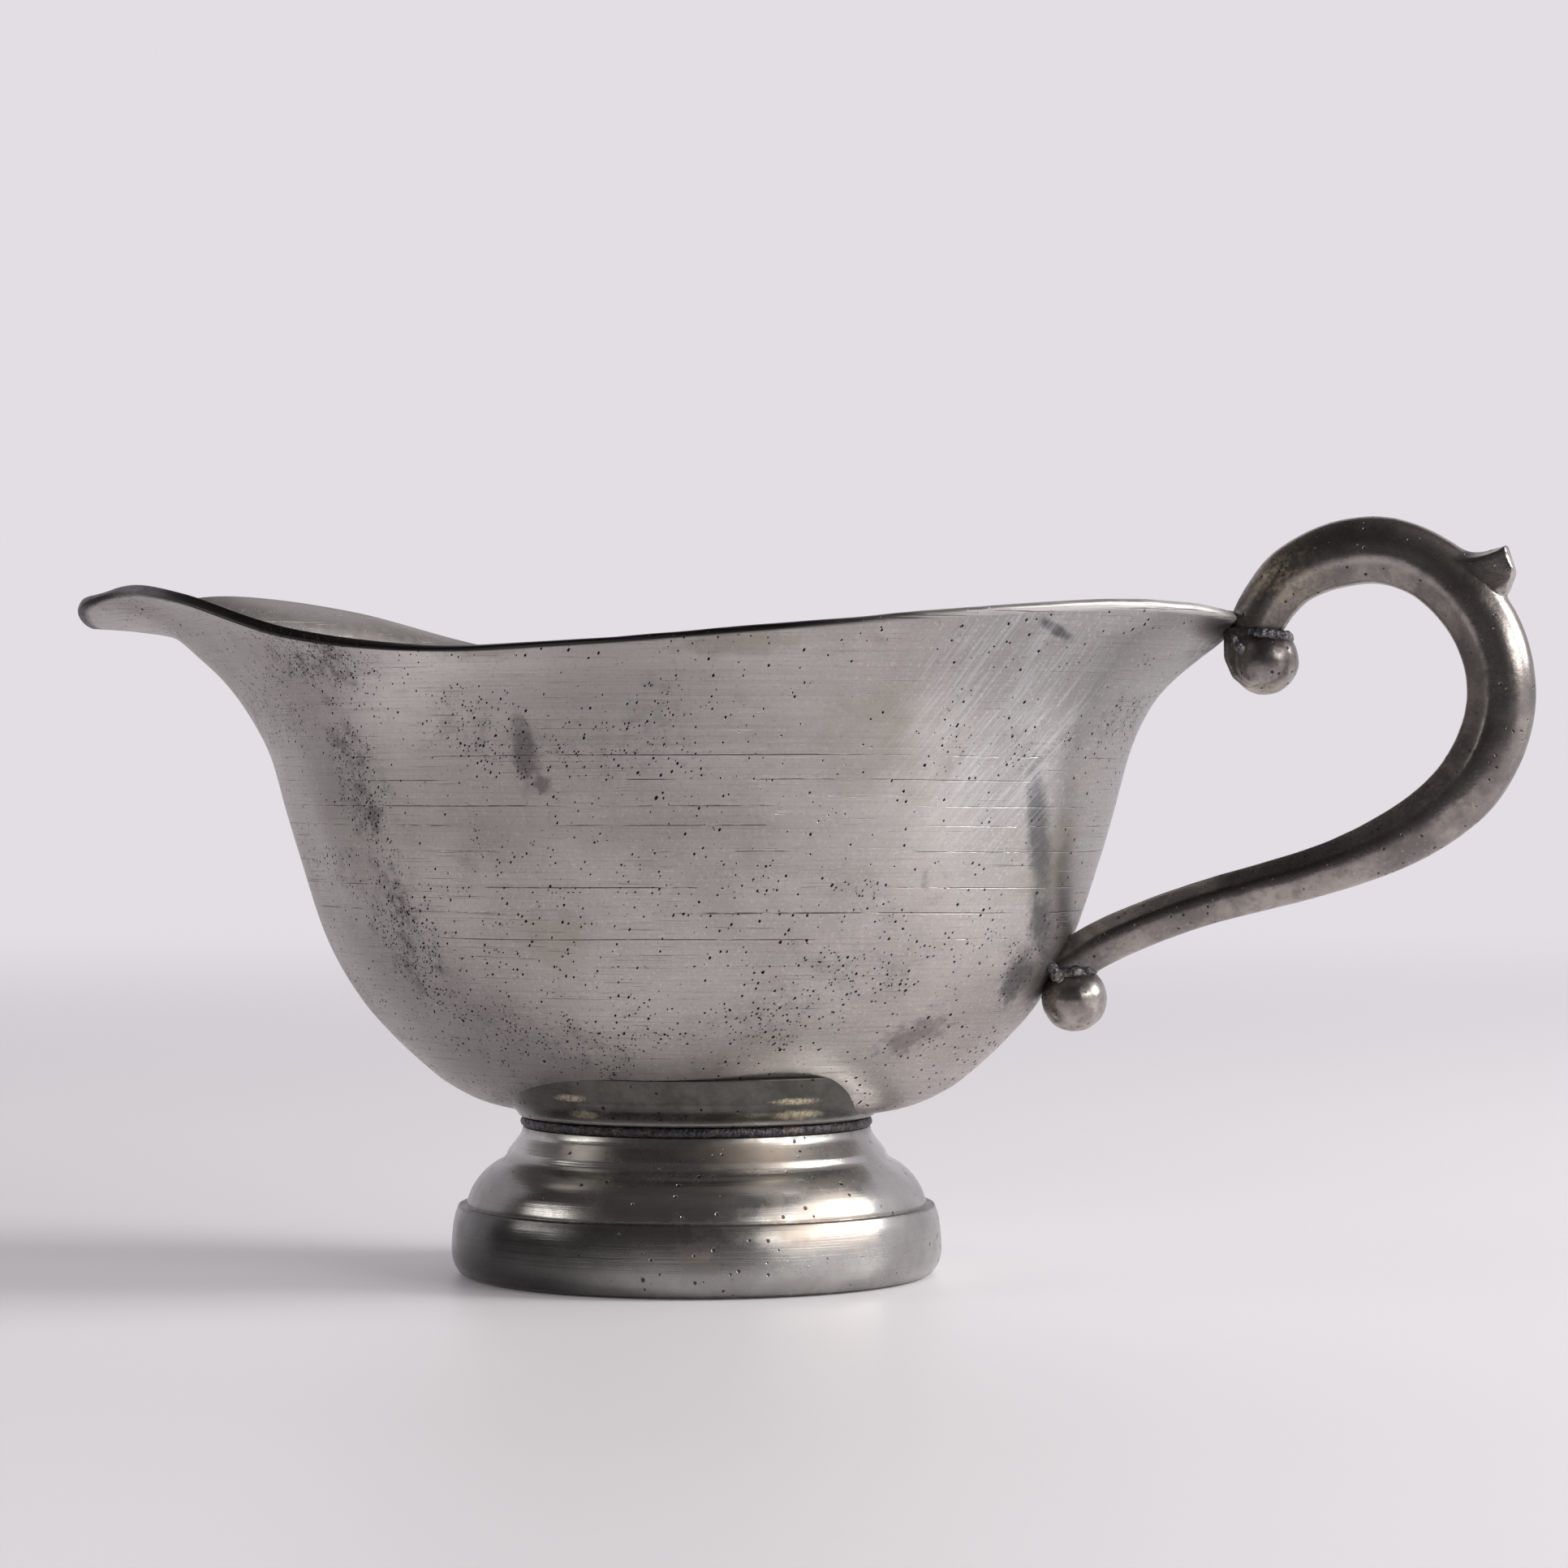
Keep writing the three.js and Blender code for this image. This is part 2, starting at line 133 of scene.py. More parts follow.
# ------------------------------------------------------------------ meshes
def make_object(name: str, points: np.ndarray, faces: Sequence[Sequence[int]]) -> Object:
    """Makes a smooth mesh object whose faces point outwards.

    Args:
        name: the piece's name.
        points: vertices in mm.
        faces: vertex numbers of each face.

    Returns:
        The new object, linked to the scene.
    """
    mesh = bpy.data.meshes.new(name)
    mesh.from_pydata((np.asarray(points) * MM).tolist(), [], [list(f) for f in faces])
    mesh.validate()
    return link(name, mesh)


def link(name: str, mesh: Mesh) -> Object:
    """Puts a mesh in the scene as an object with smooth, outward faces."""
    if signed_volume(mesh) < 0:
        mesh.flip_normals()
    mesh.shade_smooth()
    made = bpy.data.objects.new(name, mesh)
    bpy.context.scene.collection.objects.link(made)
    return made


def signed_volume(mesh: Mesh) -> float:
    """The mesh's volume, which is negative when it is inside out."""
    mesh.calc_loop_triangles()
    places = read_points(mesh)
    corners = np.zeros(len(mesh.loop_triangles) * 3, np.int64)
    mesh.loop_triangles.foreach_get("vertices", corners)
    a, b, c = places[corners.reshape(-1, 3)].transpose(1, 0, 2)
    return float(np.einsum("ij,ij->i", a, np.cross(b, c)).sum())


def read_points(mesh: Mesh) -> np.ndarray:
    """The mesh's vertices in metres."""
    places = np.zeros(len(mesh.vertices) * 3, np.float32)
    mesh.vertices.foreach_get("co", places)
    return places.reshape(-1, 3).astype(float)


def write_points(mesh: Mesh, places: np.ndarray) -> None:
    """Moves the mesh's vertices, given in metres."""
    mesh.vertices.foreach_set("co", places.astype(np.float32).ravel())
    mesh.update()


def paint(mesh: Mesh, name: str, values: np.ndarray) -> None:
    """Stores one number per vertex for the finish to read."""
    layer = mesh.attributes.new(name, "FLOAT", "POINT")
    layer.data.foreach_set("value", np.asarray(values, np.float32).ravel())


def ring_faces(rings: int, around: int, start_pole: int, end_pole: int) -> list[tuple[int, ...]]:
    """Faces of a closed skin through rings, each end closed on a pole.

    Args:
        rings: how many rings there are.
        around: vertices in each ring.
        start_pole: vertex that closes the first ring.
        end_pole: vertex that closes the last ring.

    Returns:
        Vertex numbers of each face.
    """
    index = np.arange(rings * around).reshape(rings, around)
    here, beside = index, np.roll(index, -1, axis=1)
    walls = np.stack([here[:-1], beside[:-1], beside[1:], here[1:]], -1).reshape(-1, 4)
    faces = [tuple(face) for face in walls.tolist()]
    faces += [(start_pole, int(b), int(a)) for a, b in zip(here[0], beside[0])]
    faces += [(end_pole, int(a), int(b)) for a, b in zip(here[-1], beside[-1])]
    return faces


def make_loft(name: str, rings: np.ndarray) -> Object:
    """A closed piece through rings of points in mm, shaped (rings, around, 3)."""
    count, around = rings.shape[:2]
    poles = np.stack([rings[0].mean(0), rings[-1].mean(0)])
    points = np.concatenate([rings.reshape(-1, 3), poles])
    return make_object(name, points, ring_faces(count, around, count * around, count * around + 1))


def fuse(name: str, parts: Sequence[Object], voxel: float, rounds: int) -> Object:
    """Melts overlapping closed parts into one skin and eases its edges.

    Args:
        name: the fused piece's name.
        parts: objects that are used up.
        voxel: the finest detail kept, in mm.
        rounds: how many times the skin is eased.

    Returns:
        The fused object.
    """
    places, faces, start = [], [], 0
    for part in parts:
        own = read_points(part.data)
        faces += [[start + v for v in face.vertices] for face in part.data.polygons]
        places.append(own)
        start += len(own)
        bpy.data.objects.remove(part)
    joined = make_object(name + "_raw", np.concatenate(places) / MM, faces)
    remesh = joined.modifiers.new("melt", "REMESH")
    remesh.mode, remesh.voxel_size, remesh.use_smooth_shade = "VOXEL", voxel * MM, True
    ease = joined.modifiers.new("ease", "SMOOTH")
    ease.factor, ease.iterations = 0.5, rounds
    graph = bpy.context.evaluated_depsgraph_get()
    mesh = bpy.data.meshes.new_from_object(joined.evaluated_get(graph))
    bpy.data.objects.remove(joined)
    return link(name, mesh)


def roughen(piece: Object, swells: Sequence[tuple[float, float, int]]) -> None:
    """Pushes a mesh in and out along its normals.

    Args:
        piece: the object to change.
        swells: (depth in mm, period in mm, seed) of each layer of unevenness.
    """
    mesh = piece.data
    places = read_points(mesh)
    normals = np.array([v.normal[:] for v in mesh.vertices])
    depth = sum(size * soft_noise(places / MM, period, seed) for size, period, seed in swells)
    write_points(mesh, places + normals * depth[:, None] * MM)


def blob(centre: Sequence[float], sizes: Sequence[float], detail: int = 20) -> Object:
    """An ellipsoid part for fuse(), with its centre and three half-sizes in mm."""
    down = np.linspace(0, math.pi, detail // 2 + 1)[1:-1, None]
    round_ = np.linspace(0, 2 * math.pi, detail, endpoint=False)[None, :]
    rings = np.stack(
        [np.sin(down) * np.cos(round_), np.sin(down) * np.sin(round_), np.cos(down) + 0 * round_], -1
    )
    poles = np.array([[0, 0, 1.0], [0, 0, -1.0]])
    points = np.concatenate([rings.reshape(-1, 3), poles]) * np.asarray(sizes) + np.asarray(centre)
    count = len(rings) * detail
    return make_object("blob", points, ring_faces(len(rings), detail, count, count + 1))


def ride(piece: Object, slot: Slot, material: Material, *nodes: str) -> Object:
    """Dresses a finished piece and lets it stand for its CAD nodes."""
    if material.name not in [m.name for m in piece.data.materials if m]:
        piece.data.materials.clear()
        piece.data.materials.append(material)
    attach(piece, BODY)
    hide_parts(*nodes)
    log.info("%s: %d faces", piece.name, len(piece.data.polygons))
    return piece


# ------------------------------------------------------------------ finishes
Value = Any


class NodeLayout:
    """A tree of nodes being laid out."""

    tree: Any

    def node(self, kind: str, inputs: dict[Any, Value] | None = None, **settings: Value) -> Any:
        """Adds a node.

        Args:
            kind: the node's type.
            inputs: sockets to link, or values to set, by the input's name or number.
            settings: the node's options.

        Returns:
            The new node.
        """
        made = self.tree.nodes.new(kind)
        for key, value in settings.items():
            setattr(made, key, value)
        for key, value in (inputs or {}).items():
            if isinstance(value, NodeSocket):
                self.tree.links.new(value, made.inputs[key])
            else:
                made.inputs[key].default_value = value
        return made


class FinishGraph(NodeLayout):
    """Lays out one finish's shader nodes; lengths are in mm."""

    def __init__(self, name: str) -> None:
        """Starts a metal material with a given name."""
        self.material = bpy.data.materials.new(name)
        self.material.use_nodes = True
        self.tree = self.material.node_tree
        self.tree.nodes.clear()
        self.shader = self.node("ShaderNodeBsdfPrincipled", {"Metallic": 1.0})
        self.node("ShaderNodeOutputMaterial", {"Surface": self.shader.outputs[0]})
        self.place = self.node("ShaderNodeTexCoord").outputs["Object"]

    def level(self, way: int) -> NodeSocket:
        """The place along one axis, in mm: 0 is along the boat, 2 is upwards."""
        split = self.node("ShaderNodeSeparateXYZ", {0: self.place})
        return self.math("MULTIPLY", split.outputs[way], 1 / MM)

    def painted(self, name: str) -> NodeSocket:
        """A number stored on the mesh."""
        return self.node("ShaderNodeAttribute", attribute_name=name).outputs["Fac"]

    def scaled(self, period: float | Row, turn: Row = (0, 0, 0), shift: float = 0) -> NodeSocket:
        """Object coordinates in which one unit is a period, turned by degrees."""
        sizes = period if isinstance(period, tuple) else (period,) * 3
        at = tuple(-step * size for step, size in zip((shift, shift * 1.7, -shift), sizes))
        return self.local(at, sizes, turn)

    def local(self, at: Row, sizes: Row, turn: Row) -> NodeSocket:
        """Object coordinates seen from a place in mm, turned by degrees and divided by sizes in mm."""
        inputs = {
            "Vector": self.place,
            "Location": tuple(a * MM for a in at),
            "Rotation": tuple(math.radians(a) for a in turn),
            "Scale": tuple(size * MM for size in sizes),
        }
        return self.node("ShaderNodeMapping", inputs, vector_type="TEXTURE").outputs[0]

    def grain(
        self, period: float | Row, detail: float = 3, rough: float = 0.55, turn: Row = (0, 0, 0),
        shift: float = 0, bend: float = 0,
    ) -> NodeSocket:
        """Cloudy noise of a given size, about 0.5 in the middle."""
        inputs = {
            "Vector": self.scaled(period, turn, shift),
            "Scale": 1.0, "Detail": detail, "Roughness": rough, "Distortion": bend,
        }
        return self.node("ShaderNodeTexNoise", inputs).outputs["Fac"]

    def cells(
        self, period: float | Row, shift: float = 0, turn: Row = (0, 0, 0)
    ) -> tuple[NodeSocket, NodeSocket]:
        """Scattered spots: distance from the nearest one, and its own random colour."""
        inputs = {"Vector": self.scaled(period, turn, shift), "Scale": 1.0, "Randomness": 1.0}
        made = self.node("ShaderNodeTexVoronoi", inputs)
        return made.outputs["Distance"], made.outputs["Color"]

    def between(
        self, value: NodeSocket, low: float, high: float, start: float = 0, end: float = 1
    ) -> NodeSocket:
        """Maps low..high to start..end with soft ends."""
        inputs = {"Value": value, "From Min": low, "From Max": high, "To Min": start, "To Max": end}
        made = self.node("ShaderNodeMapRange", inputs, interpolation_type="SMOOTHSTEP")
        return made.outputs["Result"]

    def math(self, operation: str, a: Value, b: Value = 0.5, clamp: bool = False) -> NodeSocket:
        """One step of arithmetic."""
        return self.node("ShaderNodeMath", {0: a, 1: b}, operation=operation, use_clamp=clamp).outputs[0]

    def times(self, *values: Value) -> NodeSocket:
        """The product of several masks."""
        total = values[0]
        for value in values[1:]:
            total = self.math("MULTIPLY", total, value)
        return total

    def plus(self, *values: Value) -> NodeSocket:
        """The sum of several masks."""
        total = values[0]
        for value in values[1:]:
            total = self.math("ADD", total, value)
        return total

    def most(self, *values: Value) -> NodeSocket:
        """The strongest of several masks."""
        total = values[0]
        for value in values[1:]:
            total = self.math("MAXIMUM", total, value)
        return total

    def spot(self, at: Row, sizes: Row, turn: Row = (0, 0, 0), ragged: float = 0.5) -> NodeSocket:
        """A soft-edged patch: 1 at its middle, 0 outside its three half-sizes, in mm."""
        inputs = {0: self.local(at, sizes, turn)}
        away = self.node("ShaderNodeVectorMath", inputs, operation="LENGTH").outputs["Value"]
        edge = self.grain(min(sizes) * 0.8, 4, 0.65, shift=at[0])
        away = self.math("ADD", away, self.math("MULTIPLY", self.math("SUBTRACT", edge, 0.5), ragged * 2))
        return self.between(away, 1.05, 0.35)

    def pits(
        self, away: NodeSocket, own: NodeSocket, share: Value, size: float, edge: float = 0.1
    ) -> NodeSocket:
        """Round pits on some of a set of scattered spots.

        Args:
            away: distance from the nearest spot.
            own: that spot's random colour.
            share: how many of the spots are pits.
            size: the widest pit's half-size, in spot periods.
            edge: how softly a pit ends.

        Returns:
            1 in a pit and 0 outside it.
        """
        chance = self.node("ShaderNodeSeparateColor", {0: own}).outputs
        chosen = self.math("LESS_THAN", chance[0], share)
        width = self.math("MULTIPLY", chance[1], size)
        return self.times(chosen, self.between(self.math("SUBTRACT", away, width), edge, 0.02))

    def mix(self, share: Value, a: Value, b: Value) -> NodeSocket:
        """Blends two colours."""
        inputs = {0: share, 6: colour(a), 7: colour(b)}
        return self.node("ShaderNodeMix", inputs, data_type="RGBA").outputs[2]

    def bump(self, height: Value, depth: float, strength: float = 1, under: Value = None) -> NodeSocket:
        """Raises the surface by height times depth, in mm, over an earlier bump."""
        inputs = {"Height": height, "Distance": depth * MM, "Strength": strength}
        if under is not None:
            inputs["Normal"] = under
        return self.node("ShaderNodeBump", inputs).outputs[0]

    def finish(self, base: Value, roughness: Value, normal: Value) -> Material:
        """Links the three results to the shader."""
        for key, value in (("Base Color", base), ("Roughness", roughness), ("Normal", normal)):
            self.tree.links.new(value, self.shader.inputs[key])
        return self.material


def colour(value: Value) -> Value:
    """A three-part colour with its alpha added; sockets pass through."""
    return (*value, 1.0) if isinstance(value, tuple) and len(value) == 3 else value


@dataclass(frozen=True)
class SpunPewter:
    """Old satin pewter of the bowl: drawn lines round it, pits, stains, painted reflections and painted
    shade, and a filed rim painted dark as a reflection, with a painted highlight towards the handle.
    """

    pale: Row = (0.56, 0.53, 0.505)
    dull: Row = (0.40, 0.37, 0.35)
    patch: Row = (0.40, 0.36, 0.34)
    glint: Row = (0.72, 0.69, 0.66)
    # the flare colour is a painted reflection and the flank colour painted shade; the lower colour darkens
    # the lower wall
    flare: Row = (0.80, 0.76, 0.735)
    lower: Row = (0.30, 0.28, 0.27)
    flank: Row = (0.34, 0.33, 0.325)
    specks: tuple[Row, Row] = ((0.24, 0.22, 0.21), (0.76, 0.73, 0.70))
    lines: tuple[Row, Row] = ((0.28, 0.26, 0.245), (0.74, 0.71, 0.69))
    scratch: Row = (0.16, 0.15, 0.145)
    cut: Row = (0.07, 0.06, 0.06)
    cut_heights: tuple[Row, ...] = (
        (70.2, 0.10), (67.1, 0.08), (63.8, 0.11), (61.3, 0.08),
        (58, 0.07), (53.4, 0.09), (50.1, 0.13), (46.7, 0.07),
    )
    olive: Row = (0.36, 0.33, 0.27)
    plum: Row = (0.17, 0.145, 0.14)
    streak: Row = (0.075, 0.08, 0.085)
    # a pale, cool colour painted on brush marks as a highlight
    brushed_highlight: Row = (0.66, 0.68, 0.705)
    haze: Row = (0.13, 0.122, 0.118)
    pit: Row = (0.02, 0.018, 0.018)
    # dirt with painted shade, at the joints and above the collar
    grime_and_shade: Row = (0.07, 0.065, 0.06)
    # the rim's edge painted dark as a reflection, then its painted highlight
    edge: Row = (0.05, 0.045, 0.045)
    bright: Row = (0.70, 0.68, 0.66)
    lining: Row = (0.62, 0.58, 0.56)

    def make(self, axis: float) -> Material:
        """Builds the finish.

        Args:
            axis: the foot's place along the boat, in mm.

        Returns:
            The material.
        """
        g = FinishGraph("spun_pewter_satin")
        clouds = g.grain(38, 4, 0.6)
        mottle = g.grain(9, 5, 0.7, shift=3)
        fine = g.grain(1.6, 3, 0.6, shift=5)
        base = g.mix(g.between(clouds, 0.35, 0.68), self.pale, self.dull)
        base = g.mix(g.times(g.between(mottle, 0.5, 0.78), 0.55), base, self.patch)
        base = g.mix(g.times(g.between(fine, 0.55, 0.8), 0.35), base, self.glint)

        # whole regions: a painted reflection makes the flare paler, the lower wall is darker, and painted
        # shade darkens the flank by the handle
        east, high = g.level(0), g.level(2)
        flare_reflection = g.times(g.between(high, 54, 78), g.between(east, axis + 46, axis + 8),
                           g.between(east, axis - 46, axis - 30))
        base = g.mix(g.times(flare_reflection, 0.62), base, self.flare)
        darker_lower_wall = g.times(g.between(high, 56, 44), g.between(east, axis + 34, axis + 12), 0.22)
        base = g.mix(darker_lower_wall, base, self.lower)
        flank_shade = g.times(g.between(east, axis + 39, axis + 50), g.between(high, 40, 58))
        base = g.mix(g.times(flank_shade, 0.8), base, self.flank)
        specks = g.grain(0.42, 2, 0.6, shift=61)
        base = g.mix(g.between(specks, 0.42, 0.28, 0.0, 0.3), base, self.specks[0])
        base = g.mix(g.between(specks, 0.56, 0.7, 0.0, 0.35), base, self.specks[1])

        # lines drawn round the bowl
        lines = g.grain((34, 34, 0.2), 4, 0.75, shift=1)
        broad = g.grain((90, 90, 1.5), 2, 0.6, shift=2)
        scratches = g.between(g.grain((14, 14, 0.13), 3, 0.65, shift=7), 0.62, 0.7)
        base = g.mix(g.times(g.between(lines, 0.45, 0.75), 0.32), base, self.lines[0])
        base = g.mix(g.times(g.between(lines, 0.5, 0.25), 0.1), base, self.lines[1])
        base = g.mix(g.times(scratches, 0.5), base, self.scratch)
        cuts = self.cuts(g, high)
        base = g.mix(g.times(cuts, 0.75), base, self.cut)

        # stains, then an upright streak and a short arc that stand for dark reflections
        olive = g.most(
            g.spot((axis + 33, -30, 74), (9, 14, 12), ragged=0.8),
            g.spot((axis - 8, -36, 47), (6, 10, 5), ragged=0.8),
            g.spot((axis - 52, -30, 47), (5, 12, 5), ragged=0.8),
            g.spot((axis + 19, -46, 84.5), (11, 9, 2.6), ragged=0.8),
            g.spot((axis - 16, -46, 84), (9, 9, 1.8), ragged=0.8),
            g.between(g.grain(26, 4, 0.6, shift=9), 0.6, 0.72),
        )
        base = g.mix(g.times(olive, 0.5), base, self.olive)
        smudge = g.most(
            g.spot((axis - 10.3, -43, 70.6), (2.5, 9, 6.2), (0, -5, 0), 0.7),
            g.spot((axis - 8.2, -43, 66.6), (1.7, 8, 1.6), (0, 0, 0), 0.7),
            g.spot((axis + 34.5, -18, 33.5), (6.5, 9, 2.4), (0, -24, 0), 0.9),
            g.spot((axis + 39, -23, 55), (2.6, 6, 5), (0, 4, 0), 0.9),
        )
        base = g.mix(g.times(smudge, g.between(fine, 0.2, 0.5, 0.35, 0.7)), base, self.plum)
        streak = g.most(
            g.spot((axis + 51.1, -17, 61), (1.5, 10, 14), (0, 1, 0), 0.35),
            g.spot((axis + 50.2, -14, 47), (1.6, 9, 8), (0, 4, 0), 0.45),
            g.spot((axis + 46.5, -12.5, 40.5), (1.6, 8, 6), (0, 24, 0), 0.5),
            g.spot((axis + 55.8, -29.5, 86.1), (3.1, 7, 1.0), (0, 38, 0), 0.3),
        )
        inside = g.painted("inside")
        outside = g.math("SUBTRACT", 1.0, inside)
        base = g.mix(g.times(streak, outside, 0.8), base, self.streak)
        # brush marks on the upper flank by the handle, painted pale and cool as a highlight, kept off the
        # inside
        brushed_highlight = g.times(
            g.spot((axis + 47, -25, 76), (16, 30, 26), (0, 20, 0), 0.3),
            g.between(g.grain((9, 9, 0.35), 4, 0.7, (0, -52, 0), shift=17), 0.42, 0.66),
        )
        base = g.mix(g.times(brushed_highlight, outside, 0.42), base, self.brushed_highlight)

        # pits, thick in bands that lean down the bowl's side
        dense = g.most(
            g.spot((axis - 36.2, -34.5, 66), (5, 14, 14), (0, -20, 0), 0.9),
            g.spot((axis - 30.4, -31.5, 47), (6.5, 14, 12.5), (0, -32, 0), 0.9),
            g.spot((axis - 41, -38, 83), (15, 14, 5), (0, 8, 0), 0.8),
            g.times(g.between(g.grain(17, 3, 0.6, shift=12), 0.52, 0.66), 0.45),
        )
        low = g.between(high, 58, 30)
        rows = g.between(g.grain((50, 50, 0.55), 2, 0.5, shift=26), 0.6, 0.68)
        rows = g.times(rows, g.between(east, axis + 30, axis))
        groups = g.between(g.grain(12, 3, 0.6, shift=25), 0.42, 0.62)
        pits = g.most(
            self.pits(g, 0.4, g.times(dense, 0.9), 0.3, 21),
            self.pits(g, 0.58, g.plus(g.times(dense, 0.8), g.times(rows, 0.8), 0.09), 0.26, 22),
            self.pits(g, 0.85, g.plus(g.times(low, groups, 0.95), g.times(rows, 0.6), 0.09), 0.17, 23),
            self.pits(g, 1.1, g.plus(g.times(low, groups, 0.7), 0.02), 0.15, 24),
        )
        haze = g.times(dense, g.between(g.grain(3.2, 5, 0.75, shift=14), 0.42, 0.66))
        base = g.mix(g.times(haze, 0.7), base, self.haze)
        base = g.mix(pits, base, self.pit)

        # dirt with painted shade near the joints and above the collar, then the rim's filed edge painted dark
        # as a reflection, with a painted highlight on its scuffed stretch towards the handle
        grime_and_shade = g.times(g.painted("grime_and_shade"), g.between(g.grain(2.4, 4, 0.7, shift=31), 0.25, 0.6))
        base = g.mix(g.times(grime_and_shade, 0.85), base, self.grime_and_shade)
        # the rim's edge is painted dark as a reflection, and its scuffed stretch towards the handle gets a
        # painted highlight
        edge, worn_and_lit = g.painted("rim_edge"), g.painted("rim_worn_and_lit")
        painted_glints = g.times(worn_and_lit, g.between(g.grain((11, 11, 0.22), 4, 0.7), 0.3, 0.5))
        base = g.mix(edge, base, g.mix(painted_glints, self.edge, self.bright))
        base = g.mix(g.times(inside, 0.5), base, self.lining)

        rough = g.math("ADD", g.between(clouds, 0.3, 0.7, 0.29, 0.37), g.between(fine, 0.3, 0.8, -0.03, 0.06))
        rough = g.math("ADD", rough, g.times(lines, 0.06))
        rough = g.math("ADD", rough, g.times(g.most(inside, g.times(edge, worn_and_lit)), 0.16))
        rough = g.math("ADD", rough, g.times(g.most(pits, grime_and_shade, scratches), 0.3), clamp=True)
        normal = g.bump(g.grain(22, 2, 0.4, shift=41), 0.35, 0.5)
        normal = g.bump(lines, 0.012, 0.7, normal)
        normal = g.bump(broad, 0.03, 0.5, normal)
        normal = g.bump(g.math("ADD", g.times(fine, 0.5), g.times(mottle, 0.8)), 0.03, 0.6, normal)
        holes = g.math("SUBTRACT", 1.0, g.most(pits, g.times(cuts, 0.5), g.times(scratches, 0.12)))
        normal = g.bump(holes, 0.14, 0.8, normal)
        return g.finish(base, rough, normal)

    @staticmethod
    def pits(g: FinishGraph, period: float, share: Value, size: float, seed: int) -> NodeSocket:
        """One layer of ragged pits.

        Args:
            g: the finish's nodes.
            period: the pits' spacing in mm.
            share: how many of the scattered spots are pits.
            size: the widest pit's half-size, in periods.
            seed: which scatter to use.

        Returns:
            1 in a pit and 0 outside it.
        """
        away, own = g.cells((period * 0.8, period, period * 1.3), seed, (0, 35, 0))
        uneven = g.math("SUBTRACT", g.grain(period * 0.4, 2, 0.6, shift=seed), 0.5)
        return g.pits(g.plus(away, g.times(uneven, 0.3)), own, share, size)

    def cuts(self, g: FinishGraph, high: NodeSocket) -> NodeSocket:
        """A few single dark lines that the lathe cut round the bowl, given the height in mm."""
        wander = g.times(g.math("SUBTRACT", g.grain(60, 1, 0.4, shift=50), 0.5), 1.6)
        high = g.plus(high, wander)
        found = []
        for number, (level, width) in enumerate(self.cut_heights):
            line = g.between(g.math("ABSOLUTE", g.math("SUBTRACT", high, level)), width, width * 0.25)
            broken = g.between(g.grain((24, 24, 3), 5, 0.8, shift=51 + number), 0.46, 0.56)
            found.append(g.times(line, broken))
        return g.most(*found)


